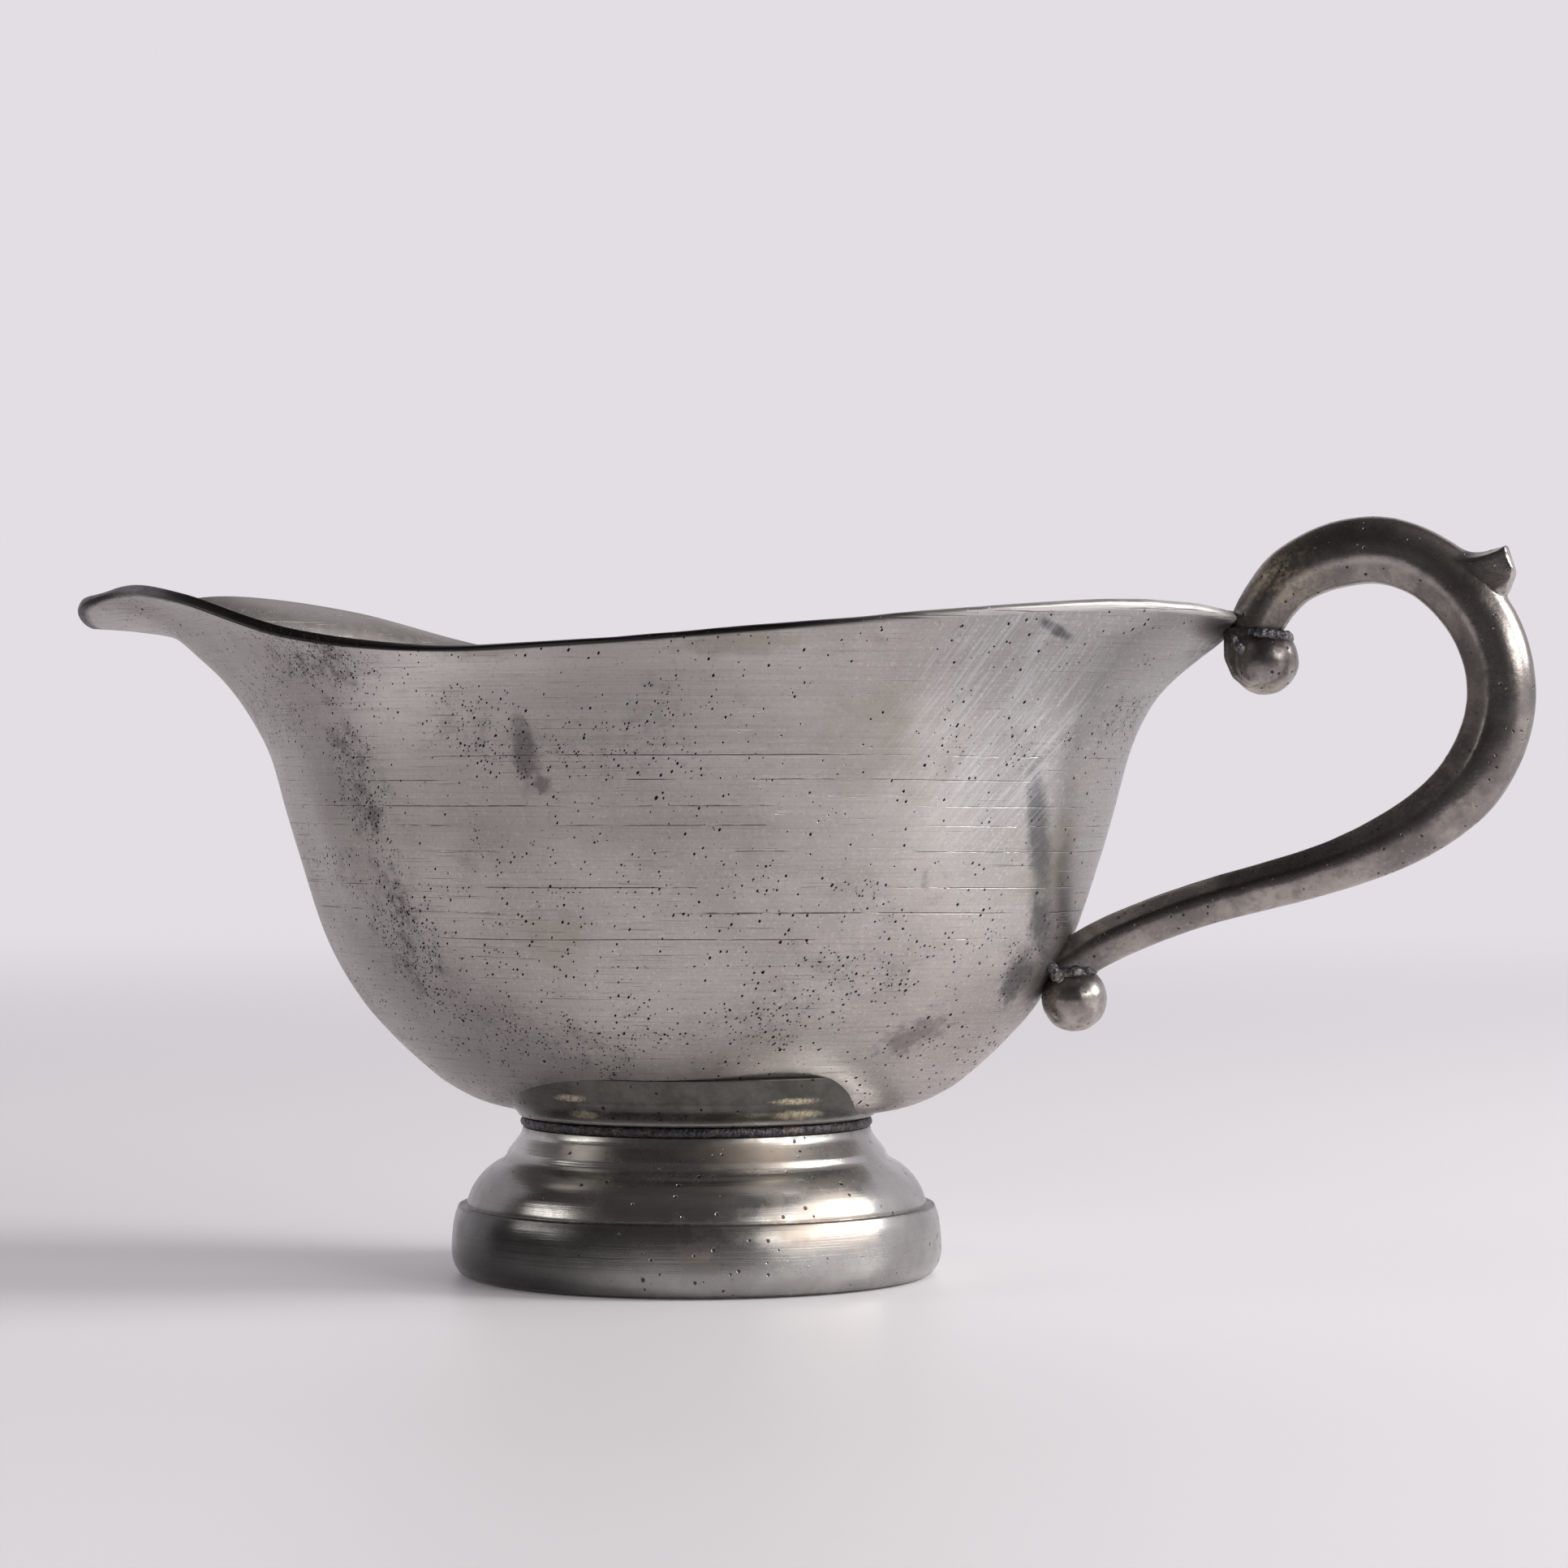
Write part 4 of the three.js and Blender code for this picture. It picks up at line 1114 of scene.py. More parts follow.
@dataclass
class Foot:
    """The turned foot, its collar, and the solder between them and the bowl."""

    axis: float
    tree: TurningTree
    form: BowlForm
    radius: float = 33.3
    height: float = 20.2
    neck: float = 23.6
    neck_wall: float = 1.1
    wall: float = 1.7
    tread: float = 2.0
    seam: float = 1.3
    spigot: float = 2.4
    steps: int = 192
    torus: tuple[Row, ...] = (
        (0.887, 0.025), (0.969, 0.089), (1, 0.173), (0.988, 0.297), (0.955, 0.4), (0.9, 0.474),
    )
    dome: tuple[Row, ...] = (
        (0.784, 0.495), (0.753, 0.54), (0.691, 0.604), (0.577, 0.678), (0.433, 0.738), (0.289, 0.777),
    )
    cove: tuple[Row, ...] = ((0.206, 0.842), (0.113, 0.896), (0.031, 0.95), (0, 1))
    hollow: tuple[Row, ...] = ((0.2, 0.72), (0.5, 0.62), (0.68, 0.5), (0.84, 0.4), (0.96, 0.18), (0.88, 0.06))
    flare: float = 4.1
    rise: float = 6.5
    proud: Row = (0.3, 1.3)
    proud_towards: float = -0.4
    face_rows: int = 22
    flare_rows: int = 60
    first_meeting: int = 12
    brims: list[float] = field(default_factory=list)
    saucer: tuple[Row, ...] = (
        (-0.1, 0.0), (0.08, 0.02), (0.17, 0.06), (0.22, 0.12), (0.36, 0.21), (0.5, 0.32),
        (0.59, 0.42), (0.62, 0.47), (0.7, 0.56), (0.82, 0.72), (0.93, 0.88), (1.0, 1.0),
    )

    def spread(self, rows: np.ndarray) -> np.ndarray:
        """Shares of the foot's spread and height as radius and height."""
        return np.stack([self.neck + rows[:, 0] * (self.radius - self.neck), rows[:, 1] * self.height], -1)

    def eased(self, rows: Sequence[Row], count: int) -> np.ndarray:
        """A smooth stretch of the foot's outline."""
        return self.spread(smooth_rows(rows, np.linspace(0, 1, count)))

    def outline(self) -> np.ndarray:
        """The foot's closed profile from the tread over the outside and back inside."""
        bore = self.neck - self.neck_wall
        tread = self.spread(np.array([[0.742, 0]]))
        inner = self.spread(np.array(self.hollow)) - (self.wall, 0)
        rough = [
            tread - (self.tread, 0), tread, self.eased(self.torus, 18),
            self.spread(np.array([[0.79, 0.468]])), self.eased(self.dome, 16),
            self.spread(np.array([[0.243, 0.80]])), self.eased(self.cove, 9),
            np.array([[bore, self.height], [bore, self.height - self.spigot - 0.3]]), inner,
        ]
        return rounded(np.concatenate(rough), 0.22)

    def build(self, turned: Material, solder: Material) -> list[tuple[Object, Slot, str]]:
        """Makes the foot, collar and both solder runs.

        Args:
            turned: the finish of the foot and collar.
            solder: the finish of the solder.

        Returns:
            Each piece with its slot and the node that it stands for.
        """
        top = self.height + self.seam
        bore = self.neck - self.neck_wall
        spigot = bore - 0.1
        bead = np.array([[bore, self.height - 0.02], [self.neck - 0.1, self.height - 0.02],
                         [self.neck + 0.22, self.height + 0.3], [self.neck + 0.3, self.height + 0.75],
                         [self.neck + 0.05, top + 0.02], [bore, top + 0.02]])
        seat_out = spigot - 1.9
        seat_top = self.form.skin(self.form.rise_at(20.9, math.pi), math.pi)[2] + 0.6
        seat = np.array([[seat_out + 0.2, self.height - self.spigot + 0.3], [seat_out + 0.2, seat_top],
                         [seat_out - 2.2, seat_top - 0.4], [seat_out - 1.3, self.height - 1.2]])
        made = []
        for name, profile, steps, chatter, finish, slot, node in (
            ("foot_turned", self.outline(), self.steps, 0.1, turned, Slot.TURNED, "foot"),
            ("foot_seam_solder", rounded(bead, 0.3), self.steps, 0.5, solder, Slot.SOLDER, "foot_solder"),
            ("collar_seat_solder", rounded(seat, 0.8), 96, 0.7, solder, Slot.SOLDER, "collar_solder"),
        ):
            made.append((self.tree.turn(name, profile, self.axis, steps, chatter, finish), slot, node))
        made.append((self.collar(), Slot.TURNED, "collar"))
        for piece, _, node in made:
            places = read_points(piece.data) / MM
            # dirt with painted shade at the seam, the step and the tread, and on the collar along its brim
            near = np.exp(-(((places[:, 2] - self.height - 0.6) / 1.1) ** 2))
            step = np.exp(-(((places[:, 2] - 0.475 * self.height) / 0.28) ** 2))
            tread = np.exp(-((places[:, 2] / 0.8) ** 2))
            if node == "collar":
                turn = np.arctan2(places[:, 1], places[:, 0] - self.axis) / (2 * math.pi) * self.steps
                brim = np.array(self.brims)[np.round(turn).astype(int) % self.steps]
                tread = np.exp(-(((places[:, 2] - brim - 0.1) / 0.3) ** 2))
            paint(piece.data, "grime_and_shade", np.clip(near + 0.8 * step + 0.7 * tread, 0, 1))
            # painted shade on the collar, which stands for its dark reflections
            paint(piece.data, "tarnish", smoothstep(places[:, 2], top + 0.3, top + 1.2))
        return made

    def collar(self) -> Object:
        """The collar: a saucer whose rim follows the oval bowl's underside.

        At every angle its face runs into the bowl's wall by `proud`: the first number all round, and the
        second towards the handle, where its edge comes a quarter of a millimetre through the inner face.

        Returns:
            The collar, not yet painted.
        """
        rise, angle = np.meshgrid(np.linspace(0.03, 0.6, 90),
                                  np.linspace(0, 2 * math.pi, 240, endpoint=False))
        points = self.form.skin(rise, angle)
        index = np.arange(rise.size).reshape(rise.shape)
        beside = np.roll(index, -1, 0)
        quads = np.stack([index[:, :-1], beside[:, :-1], beside[:, 1:], index[:, 1:]], -1).reshape(-1, 4)
        under = BVHTree.FromPolygons(points.reshape(-1, 3).tolist(), quads.tolist())

        def skin_over(radius: float, turn: float) -> float:
            """Height of the bowl's underside over a place beside the axis."""
            start = Vector((self.axis + radius * math.cos(turn), radius * math.sin(turn), 0))
            return under.ray_cast(start, Vector((0, 0, 1)))[0].z

        top = self.height + self.seam
        bore = self.neck - self.neck_wall - 0.1
        flare = smooth_rows(self.saucer, np.linspace(0, 1, self.flare_rows))
        flare = np.column_stack([self.neck + flare[:, 0] * self.flare, top + flare[:, 1] * self.rise])
        rows = range(self.flare_rows)
        rings, self.brims = [], []
        for turn in np.linspace(0, 2 * math.pi, self.steps, endpoint=False):
            proud = self.proud[0] + self.proud[1] * max(0.0, math.cos(turn - self.proud_towards))
            clear = [z - skin_over(r, turn) - proud for r, z in flare]
            meets = next((at for at, over in enumerate(clear) if over > 0 and at > self.first_meeting),
                         len(clear) - 1)
            share = np.linspace(0, meets, self.face_rows)
            face = list(zip(*(np.interp(share, rows, flare[:, way]).tolist() for way in (0, 1))))
            rim, brim = face[-1]
            self.brims.append(brim)
            inner = [(rim - 0.35, brim + 0.16), (rim - 1.0, skin_over(rim - 1.0, turn) + 0.5),
                     (bore - 0.9, skin_over(bore - 0.9, turn) + 0.4), (bore - 1.6, self.height),
                     (bore - 1.6, self.height - self.spigot), (bore, self.height - self.spigot), (bore, top)]
            profile = rounded(face + inner, 0.22, 2)
            rings.append(np.column_stack([self.axis + profile[:, 0] * math.cos(turn),
                                          profile[:, 0] * math.sin(turn), profile[:, 1]]))
        grid = np.array(rings)
        count, around = grid.shape[:2]
        index = np.arange(count * around).reshape(count, around)
        faces = np.stack([index, np.roll(index, -1, 0), np.roll(np.roll(index, -1, 0), -1, 1),
                          np.roll(index, -1, 1)], -1).reshape(-1, 4)
        return make_object("collar_turned", grid.reshape(-1, 3), faces.tolist())


# ------------------------------------------------------------------ the handle
class SweepTree(GeometryTree):
    """Sweeps a section along a spine that carries its own frame."""

    def __init__(self) -> None:
        """Lays out the tree."""
        super().__init__("sweep", {
            "Spine": "Geometry", "Section": "Object", "Spine Points": "Int", "Section Points": "Int",
            "Width": "Float", "Thickness": "Float", "Finish": "Material",
        })
        given, math_ = self.given, self.math
        section = self.node("GeometryNodeObjectInfo", {0: given["Section"]}).outputs["Geometry"]
        grid, along, around = self.grid(given["Spine Points"], math_("ADD", given["Section Points"], 1))
        ring = math_("ROUND", math_("MULTIPLY", along, math_("SUBTRACT", given["Spine Points"], 1)))
        side = math_("ROUND", math_("MULTIPLY", around, given["Section Points"]))
        side = math_("MODULO", side, given["Section Points"])
        centre = self.sampled(given["Spine"], self.position, ring, "FLOAT_VECTOR")
        outwards = self.carried("outwards", "FLOAT_VECTOR", ring)
        width = self.carried("width", "FLOAT", ring)
        point = self.split(self.sampled(section, self.position, side, "FLOAT_VECTOR"))
        out = math_("MULTIPLY", math_("MULTIPLY", point[0], width), given["Width"])
        across = math_("MULTIPLY", math_("MULTIPLY", point[1], width), given["Thickness"])
        reach = self.vector("SCALE", {0: outwards, "Scale": out})
        sideways = self.node("ShaderNodeCombineXYZ", {1: across}).outputs[0]
        self.end(grid, self.vector("ADD", {0: self.vector("ADD", {0: centre, 1: reach}), 1: sideways}))

    def vector(self, operation: str, inputs: dict[Any, Any]) -> NodeSocket:
        """One step of arithmetic on vectors."""
        return self.node("ShaderNodeVectorMath", inputs, operation=operation).outputs[0]

    def carried(self, name: str, kind: str, ring: NodeSocket) -> NodeSocket:
        """An attribute of the spine at a ring."""
        named = self.node("GeometryNodeInputNamedAttribute", {"Name": name}, data_type=kind)
        return self.sampled(self.given["Spine"], named.outputs["Attribute"], ring, kind)


@dataclass
class HandlePlane:
    """The plane of the handle, read between its two joints with the bowl."""

    form: BowlForm
    reach: float = 39.0
    lower_rise: float = 22.3

    def __post_init__(self) -> None:
        """Finds both joints on the bowl."""
        self.lower = self.form.skin(self.form.rise_at(self.form.base + self.lower_rise, math.pi), math.pi)
        self.upper = self.form.skin(1.0, math.pi)

    def point(self, share: Any, out: Any, across: Any = 0.0) -> np.ndarray:
        """Points at a share of the way between the joints and a share of the reach, in mm."""
        share, out, across = np.broadcast_arrays(*(np.asarray(v, float) for v in (share, out, across)))
        middle = self.lower + (self.upper - self.lower) * share[..., None]
        return middle + np.stack([out * self.reach, across, 0 * out], -1)


@dataclass
class Handle:
    """The cast scroll handle: a swept arm with a flat inner side, and a thumb rest."""

    plane: HandlePlane
    tree: SweepTree
    width: float = 8.9
    thickness: float = 7.7
    rest_width: float = 6.0
    rings: int = 300
    path: tuple[Row, ...] = (
        (0.002, 0.004, 0.72), (0.032, 0.046, 0.69), (0.07, 0.09, 0.67), (0.104, 0.148, 0.67),
        (0.161, 0.277, 0.67), (0.208, 0.413, 0.67), (0.246, 0.555, 0.7), (0.284, 0.694, 0.73),
        (0.333, 0.826, 0.79), (0.398, 0.947, 0.88), (0.466, 1.023, 0.93), (0.544, 1.067, 0.98),
        (0.64, 1.071, 1), (0.744, 1.039, 1), (0.85, 0.97, 0.99), (0.966, 0.853, 0.98),
        (1.068, 0.705, 0.98), (1.15, 0.534, 0.97), (1.194, 0.362, 0.99), (1.182, 0.212, 0.97),
        (1.128, 0.1, 0.89), (1.061, 0.068, 0.82), (0.998, 0.063, 0.79), (0.947, 0.078, 0.74),
    )
    section: tuple[Row, ...] = (
        (1, 0), (0.914, 0.407), (0.669, 0.743), (0.309, 0.951), (-0.04, 0.998), (-0.34, 0.93),
    )
    flat: Row = (-1, 0.4)
    rest: tuple[tuple[Row, ...], ...] = (
        ((1.235, 0.415, 0), (1.195, 0.455, 0.75), (1.16, 0.48, 0.85), (1.13, 0.47, 0.8)),
        ((1.22, 0.549, 0), (1.176, 0.57, 1), (1.145, 0.59, 1.05), (1.115, 0.62, 0.95)),
        ((1.188, 0.662, 0), (1.163, 0.673, 0.95), (1.125, 0.7, 0.95), (1.09, 0.71, 0.9)),
        ((1.196, 0.735, 0), (1.18, 0.745, 1), (1.13, 0.78, 0.9), (1.07, 0.8, 0.8)),
        ((1.205, 0.768, 0), (1.2, 0.768, 1), (1.13, 0.842, 0.85), (1.07, 0.855, 0.7)),
    )

    def spine(self) -> tuple[np.ndarray, np.ndarray, np.ndarray]:
        """Works out the arm's middle line, with rounded ends.

        Returns:
            Points in mm, outward directions, and widths as shares of the full width.
        """
        rows = np.asarray(self.path)
        knots = self.plane.point(rows[:, 0], rows[:, 1])
        knots = np.vstack([2 * knots[0] - knots[1], knots, 2 * knots[-1] - knots[-2]])
        steps = np.sqrt(np.linalg.norm(np.diff(knots, axis=0), axis=1))
        share = np.linspace(0, 1, self.rings)
        place = share * (len(rows) - 1)
        index = np.minimum(place.astype(int), len(rows) - 2)
        rest = (place - index)[:, None]
        a, b, c, d = (knots[index + i] for i in range(4))
        ab, bc, cd = (steps[index + i][:, None] for i in range(3))
        leave = ((b - a) / ab - (c - a) / (ab + bc) + (c - b) / bc) * bc
        arrive = ((c - b) / bc - (d - b) / (bc + cd) + (d - c) / cd) * bc
        points = (
            (2 * b - 2 * c + leave + arrive) * rest**3
            + (-3 * b + 3 * c - 2 * leave - arrive) * rest**2
            + leave * rest + b
        )
        widths = smooth_rows(tuple(rows[:, 2]), share)
        along = unit(np.gradient(points, axis=0))
        cap = np.array([0.25, 0.5, 0.72, 0.9, 1.0])
        ease = np.sqrt(1 - cap**2)
        ease[-1] = 0
        bulge = cap[:, None] * 1.2
        points = np.vstack([(points[0] - along[0] * bulge)[::-1], points, points[-1] + along[-1] * bulge])
        widths = np.concatenate([(widths[0] * ease)[::-1], widths, widths[-1] * ease])
        along = np.vstack([np.repeat(along[:1], 5, 0), along, np.repeat(along[-1:], 5, 0)])
        outwards = np.stack([along[:, 2], 0 * widths, -along[:, 0]], -1)
        return points, outwards, widths

    def section_outline(self) -> np.ndarray:
        """The arm's closed section: round outside, two slanting facets and a flat inside."""
        mirrored = ((0.914, -0.407), *self.section, (-0.75, 0.7))
        smooth = smooth_rows(mirrored, np.linspace(1, len(self.section), 18) / (len(mirrored) - 1))
        half = np.vstack([smooth, self.flat])
        other = half[1:][::-1] * (1, -1)
        return rounded(np.vstack([half, other]), 0.07, 2)

    def arm(self, finish: Material) -> Object:
        """Sweeps the arm with the geometry tree.

        Args:
            finish: the material that the arm gets.

        Returns:
            The arm as a plain mesh object.
        """
        points, outwards, widths = self.spine()
        mesh = bpy.data.meshes.new("arm_spine")
        mesh.from_pydata((points * MM).tolist(), [(i, i + 1) for i in range(len(points) - 1)], [])
        layer = mesh.attributes.new("outwards", "FLOAT_VECTOR", "POINT")
        layer.data.foreach_set("vector", outwards.astype(np.float32).ravel())
        paint(mesh, "width", widths)
        spine = bpy.data.objects.new("arm_spine", mesh)
        outline = self.section_outline()
        flat = bpy.data.meshes.new("arm_section")
        flat.from_pydata(np.column_stack([outline, np.zeros(len(outline))]).tolist(), [], [])
        section = bpy.data.objects.new("arm_section", flat)
        for made in (spine, section):
            bpy.context.scene.collection.objects.link(made)
        sizes = {"Section": section, "Spine Points": len(points), "Section Points": len(outline),
                 "Width": self.width / 2 * MM, "Thickness": self.thickness / 2 * MM, "Finish": finish}
        piece = grow(spine, self.tree.tree, sizes, "handle_arm")
        bpy.data.objects.remove(section)
        return piece

    def thumb_rest(self) -> Object:
        """Lofts the spur that ends in a two-faced nose."""
        sections = []
        for rows in self.rest:
            near = [self.plane.point(s, r, a * self.rest_width / 2) for s, r, a in rows]
            far = [self.plane.point(s, r, -a * self.rest_width / 2) for s, r, a in rows[:0:-1]]
            sections.append(np.array(near + far))
        table = np.array(sections).reshape(len(sections), -1)
        eased = smooth_rows([tuple(row) for row in table], np.linspace(0, 1, 41))
        rings = [rounded(ring, 0.35, 3) for ring in eased.reshape(41, -1, 3)]
        share, reach, _ = self.rest[-1][2]
        nose = self.plane.point(share, reach)
        last = rings[-1]
        rings += [last + (nose - last) * part for part in (0.04, 0.3, 0.6, 0.9)]
        return make_loft("thumb_rest", np.array(rings))

    def build(self, finish: Material, seat: "Seat") -> Object:
        """Makes the whole handle as one piece and paints its scuffing, painted highlights and painted shade.

        Args:
            finish: the handle's material.
            seat: keeps its ends out of the bowl's wall.

        Returns:
            The handle.
        """
        piece = fuse("handle_cast", [self.arm(finish), self.thumb_rest()], 0.26, 7)
        seat.rest(piece)
        roughen(piece, ((0.10, 9, 61), (0.03, 2.5, 62)))
        self.mark(piece)
        return piece

    def mark(self, piece: Object) -> None:
        """Paints scuffing on the ridges with a painted highlight on the crown, painted shade inside and on
        the arc's outer side, dirt with painted shade at the joints, and the warm patch at the upper root.

        Args:
            piece: the handle.
        """
        mesh = piece.data
        places = read_points(mesh) / MM
        points, outwards, widths = self.spine()
        nearest = np.empty(len(places), int)
        for start in range(0, len(places), 4000):
            part = places[start:start + 4000]
            nearest[start:start + 4000] = np.argmin(
                ((part[:, None, ::2] - points[None, :, ::2]) ** 2).sum(-1), axis=1)
        half = np.maximum(widths[nearest], 0.3)
        out = ((places - points[nearest]) * outwards[nearest]).sum(-1) / (half * self.width / 2)
        ridge = np.exp(-(((out + 0.34) / 0.09) ** 2)) + 0.6 * np.exp(-(((out + 1) / 0.08) ** 2))
        # the crown is made pale as a painted highlight
        crown = 0.25 * smoothstep(out, 0.55, 0.95)
        paint(mesh, "wear_and_highlight", np.clip(0.8 * ridge + crown, 0, 1))
        along = nearest / len(points)
        lower = smoothstep(along, 0.04, 0.16) * (1 - smoothstep(along, 0.3, 0.42))
        # painted shade on the inner side, most on the lower arm, and on the outer side from the arc's top to
        # its right
        inner = smoothstep(-out, 0.0, 0.35)
        outer = smoothstep(out, 0.1, 0.6) * smoothstep(along, 0.42, 0.5) * (1 - smoothstep(along, 0.62, 0.7))
        paint(mesh, "shade", np.clip(inner * (0.3 + 0.6 * lower) + 0.4 * outer, 0, 1))
        # dirt with painted shade at both joints
        joints = np.exp(-((np.linalg.norm(places - self.plane.upper, axis=1) / 6.0) ** 2))
        joints += np.exp(-((np.linalg.norm(places - self.plane.lower, axis=1) / 6.0) ** 2))
        paint(mesh, "grime_and_shade", np.clip(joints, 0, 1))
        patch = self.plane.point(1.13, 0.05, -3.2)
        paint(mesh, "gold", np.exp(-((np.linalg.norm(places - patch, axis=1) / 5.0) ** 2)))


class Seat:
    """Keeps pieces that touch the bowl from running through its thin wall."""

    look: float = 5.5
    beside: float = 0.3

    def __init__(self, form: BowlForm, sink: float = 0.35) -> None:
        """Samples the bowl's outer face near the handle's plane.

        Args:
            form: the bowl's shape.
            sink: how deep in the wall a piece may reach, in mm.
        """
        rise, angle = np.meshgrid(np.linspace(0.25, 1, 150), np.linspace(math.pi - 0.7, math.pi + 0.7, 121))
        points = form.skin(rise, angle)
        self.sink = sink
        index = np.arange(rise.size).reshape(rise.shape)
        quads = np.stack([index[:-1, :-1], index[:-1, 1:], index[1:, 1:], index[1:, :-1]], -1).reshape(-1, 4)
        self.tree = BVHTree.FromPolygons(points.reshape(-1, 3).tolist(), quads.tolist())
        _, normal, _, _ = self.tree.find_nearest(Vector(form.skin(0.5, math.pi)))
        self.way = 1.0 if normal.x > 0 else -1.0

    def rest(self, piece: Object) -> None:
        """Lifts vertices that lie deeper in the bowl's wall than the sink.

        Args:
            piece: the object to lift.
        """
        places = read_points(piece.data) / MM
        for number, place in enumerate(places):
            found, normal, _, _ = self.tree.find_nearest(Vector(place), self.look)
            if found is None:
                continue
            normal = normal * self.way
            offset = Vector(place) - found
            depth = offset.dot(normal)
            beside = (offset - normal * depth).length
            if depth < -self.sink and beside < self.beside:
                places[number] = np.array(found - normal * self.sink)
        write_points(piece.data, places * MM)


@dataclass
class Balls:
    """The two cast balls, the upper one's root block, and the solder round them."""

    plane: HandlePlane
    seat: Seat
    upper_radius: float = 4.5
    lower_radius: float = 4.4
    upper_at: Row = (0.886, 0.158)
    lower_at: Row = (-0.074, 0.118)
    root_thickness: float = 6.2
    bead_step: float = 18.0
    root: tuple[Row, ...] = (
        (-1.12, 0.9), (-1.13, 0.1), (-0.88, -0.5), (-0.4, -0.88), (0.2, -0.6), (0.2, 0.8), (-0.4, 1.1),
    )

    def upper_ball(self) -> Object:
        """The upper ball fused with its root block."""
        centre = self.plane.point(*self.upper_at)
        outline = rounded(self.root, 0.1, 2) * self.upper_radius
        half = self.root_thickness / 2
        rings = []
        for across, size in ((-half, 0.9), (-half * 0.85, 1), (half * 0.85, 1), (half, 0.9)):
            ring = outline * size
            rings.append(centre + np.column_stack([ring[:, 0], np.full(len(ring), across), ring[:, 1]]))
        block = make_loft("root_block", np.array(rings))
        ball = blob(centre, (self.upper_radius,) * 3, 32)
        piece = fuse("upper_ball_cast", [ball, block], 0.22, 6)
        roughen(piece, ((0.12, 4.5, 71), (0.05, 1.4, 72)))
        self.seat.rest(piece)
        return self.mark(piece, centre)

    def lower_ball(self) -> Object:
        """The lower ball, a little flattened against the bowl."""
        centre = self.plane.point(*self.lower_at)
        size = self.lower_radius
        neck = centre + (self.plane.lower - centre) * 0.45
        piece = fuse("lower_ball_cast", [blob(centre, (size,) * 3, 32), blob(neck, (2.6, 2.4, 2.6))], 0.22, 6)
        roughen(piece, ((0.12, 4.5, 73), (0.05, 1.4, 74)))
        self.seat.rest(piece)
        return self.mark(piece, centre)

    @staticmethod
    def mark(piece: Object, centre: np.ndarray) -> Object:
        """Paints the ball paler low down as a painted highlight, with a gold tint there, and darker above it
        as painted shade.
        """
        places = read_points(piece.data) / MM
        high = places[:, 2] - centre[2]
        # a painted highlight low on the ball, and painted shade above it
        paint(piece.data, "wear_and_highlight", smoothstep(-high, 0.5, 3.5))
        paint(piece.data, "grime_and_shade", smoothstep(high, 1.4, 3.2))
        paint(piece.data, "gold", 0.7 * smoothstep(-high, 2.0, 4.5))
        return piece

    def ring(self, name: str, centre: np.ndarray, sides: Row, lean: float, size: float,
             seed: int) -> Object:
        """A ring of solder beads melted together.

        Args:
            name: the piece's name.
            centre: the ring's middle in mm.
            sides: half-sizes of the ring across and along its plane.
            lean: degrees the ring's plane is turned about Y from level.
            size: a bead's half-size in mm.
            seed: which unevenness to use.

        Returns:
            The solder piece.
        """
        turn = math.radians(lean)
        beads = []
        for number, degrees in enumerate(np.arange(0, 360, self.bead_step)):
            angle = math.radians(degrees)
            flat = Vector((sides[0] * math.cos(angle), sides[1] * math.sin(angle), 0))
            place = centre + np.array([flat.x * math.cos(turn), flat.y, -flat.x * math.sin(turn)])
            swell = 1 + 0.28 * noise.noise(Vector((number * 0.9, seed, 0)))
            beads.append(blob(place, (size * swell,) * 3, 12))
        piece = fuse(name, beads, 0.2, 3)
        roughen(piece, ((0.22, 1.3, seed), (0.12, 0.55, seed + 1)))
        self.seat.rest(piece)
        return piece

    def solders(self) -> list[tuple[Object, str]]:
        """All four solder runs of the handle with the nodes that they stand for."""
        upper, lower = self.plane.point(*self.upper_at), self.plane.point(*self.lower_at)
        runs = (
            ("upper_ball_solder", upper, (0.2, 0, 3.5), (2.9, 2.9), 8, 0.8, 81),
            ("lower_ball_solder", lower, (-0.2, 0, 3.4), (2.7, 2.7), -8, 0.8, 83),
            ("upper_handle_solder", self.plane.upper, (0.3, 0, -3.4), (2.6, 3.4), 48, 0.75, 85),
            ("lower_handle_solder", self.plane.lower, (0.5, 0, 0.9), (4.4, 3.6), 62, 0.85, 87),
        )
        return [(self.ring(node + "_run", near + np.array(by), sides, lean, size, seed), node)
                for node, near, by, sides, lean, size, seed in runs]


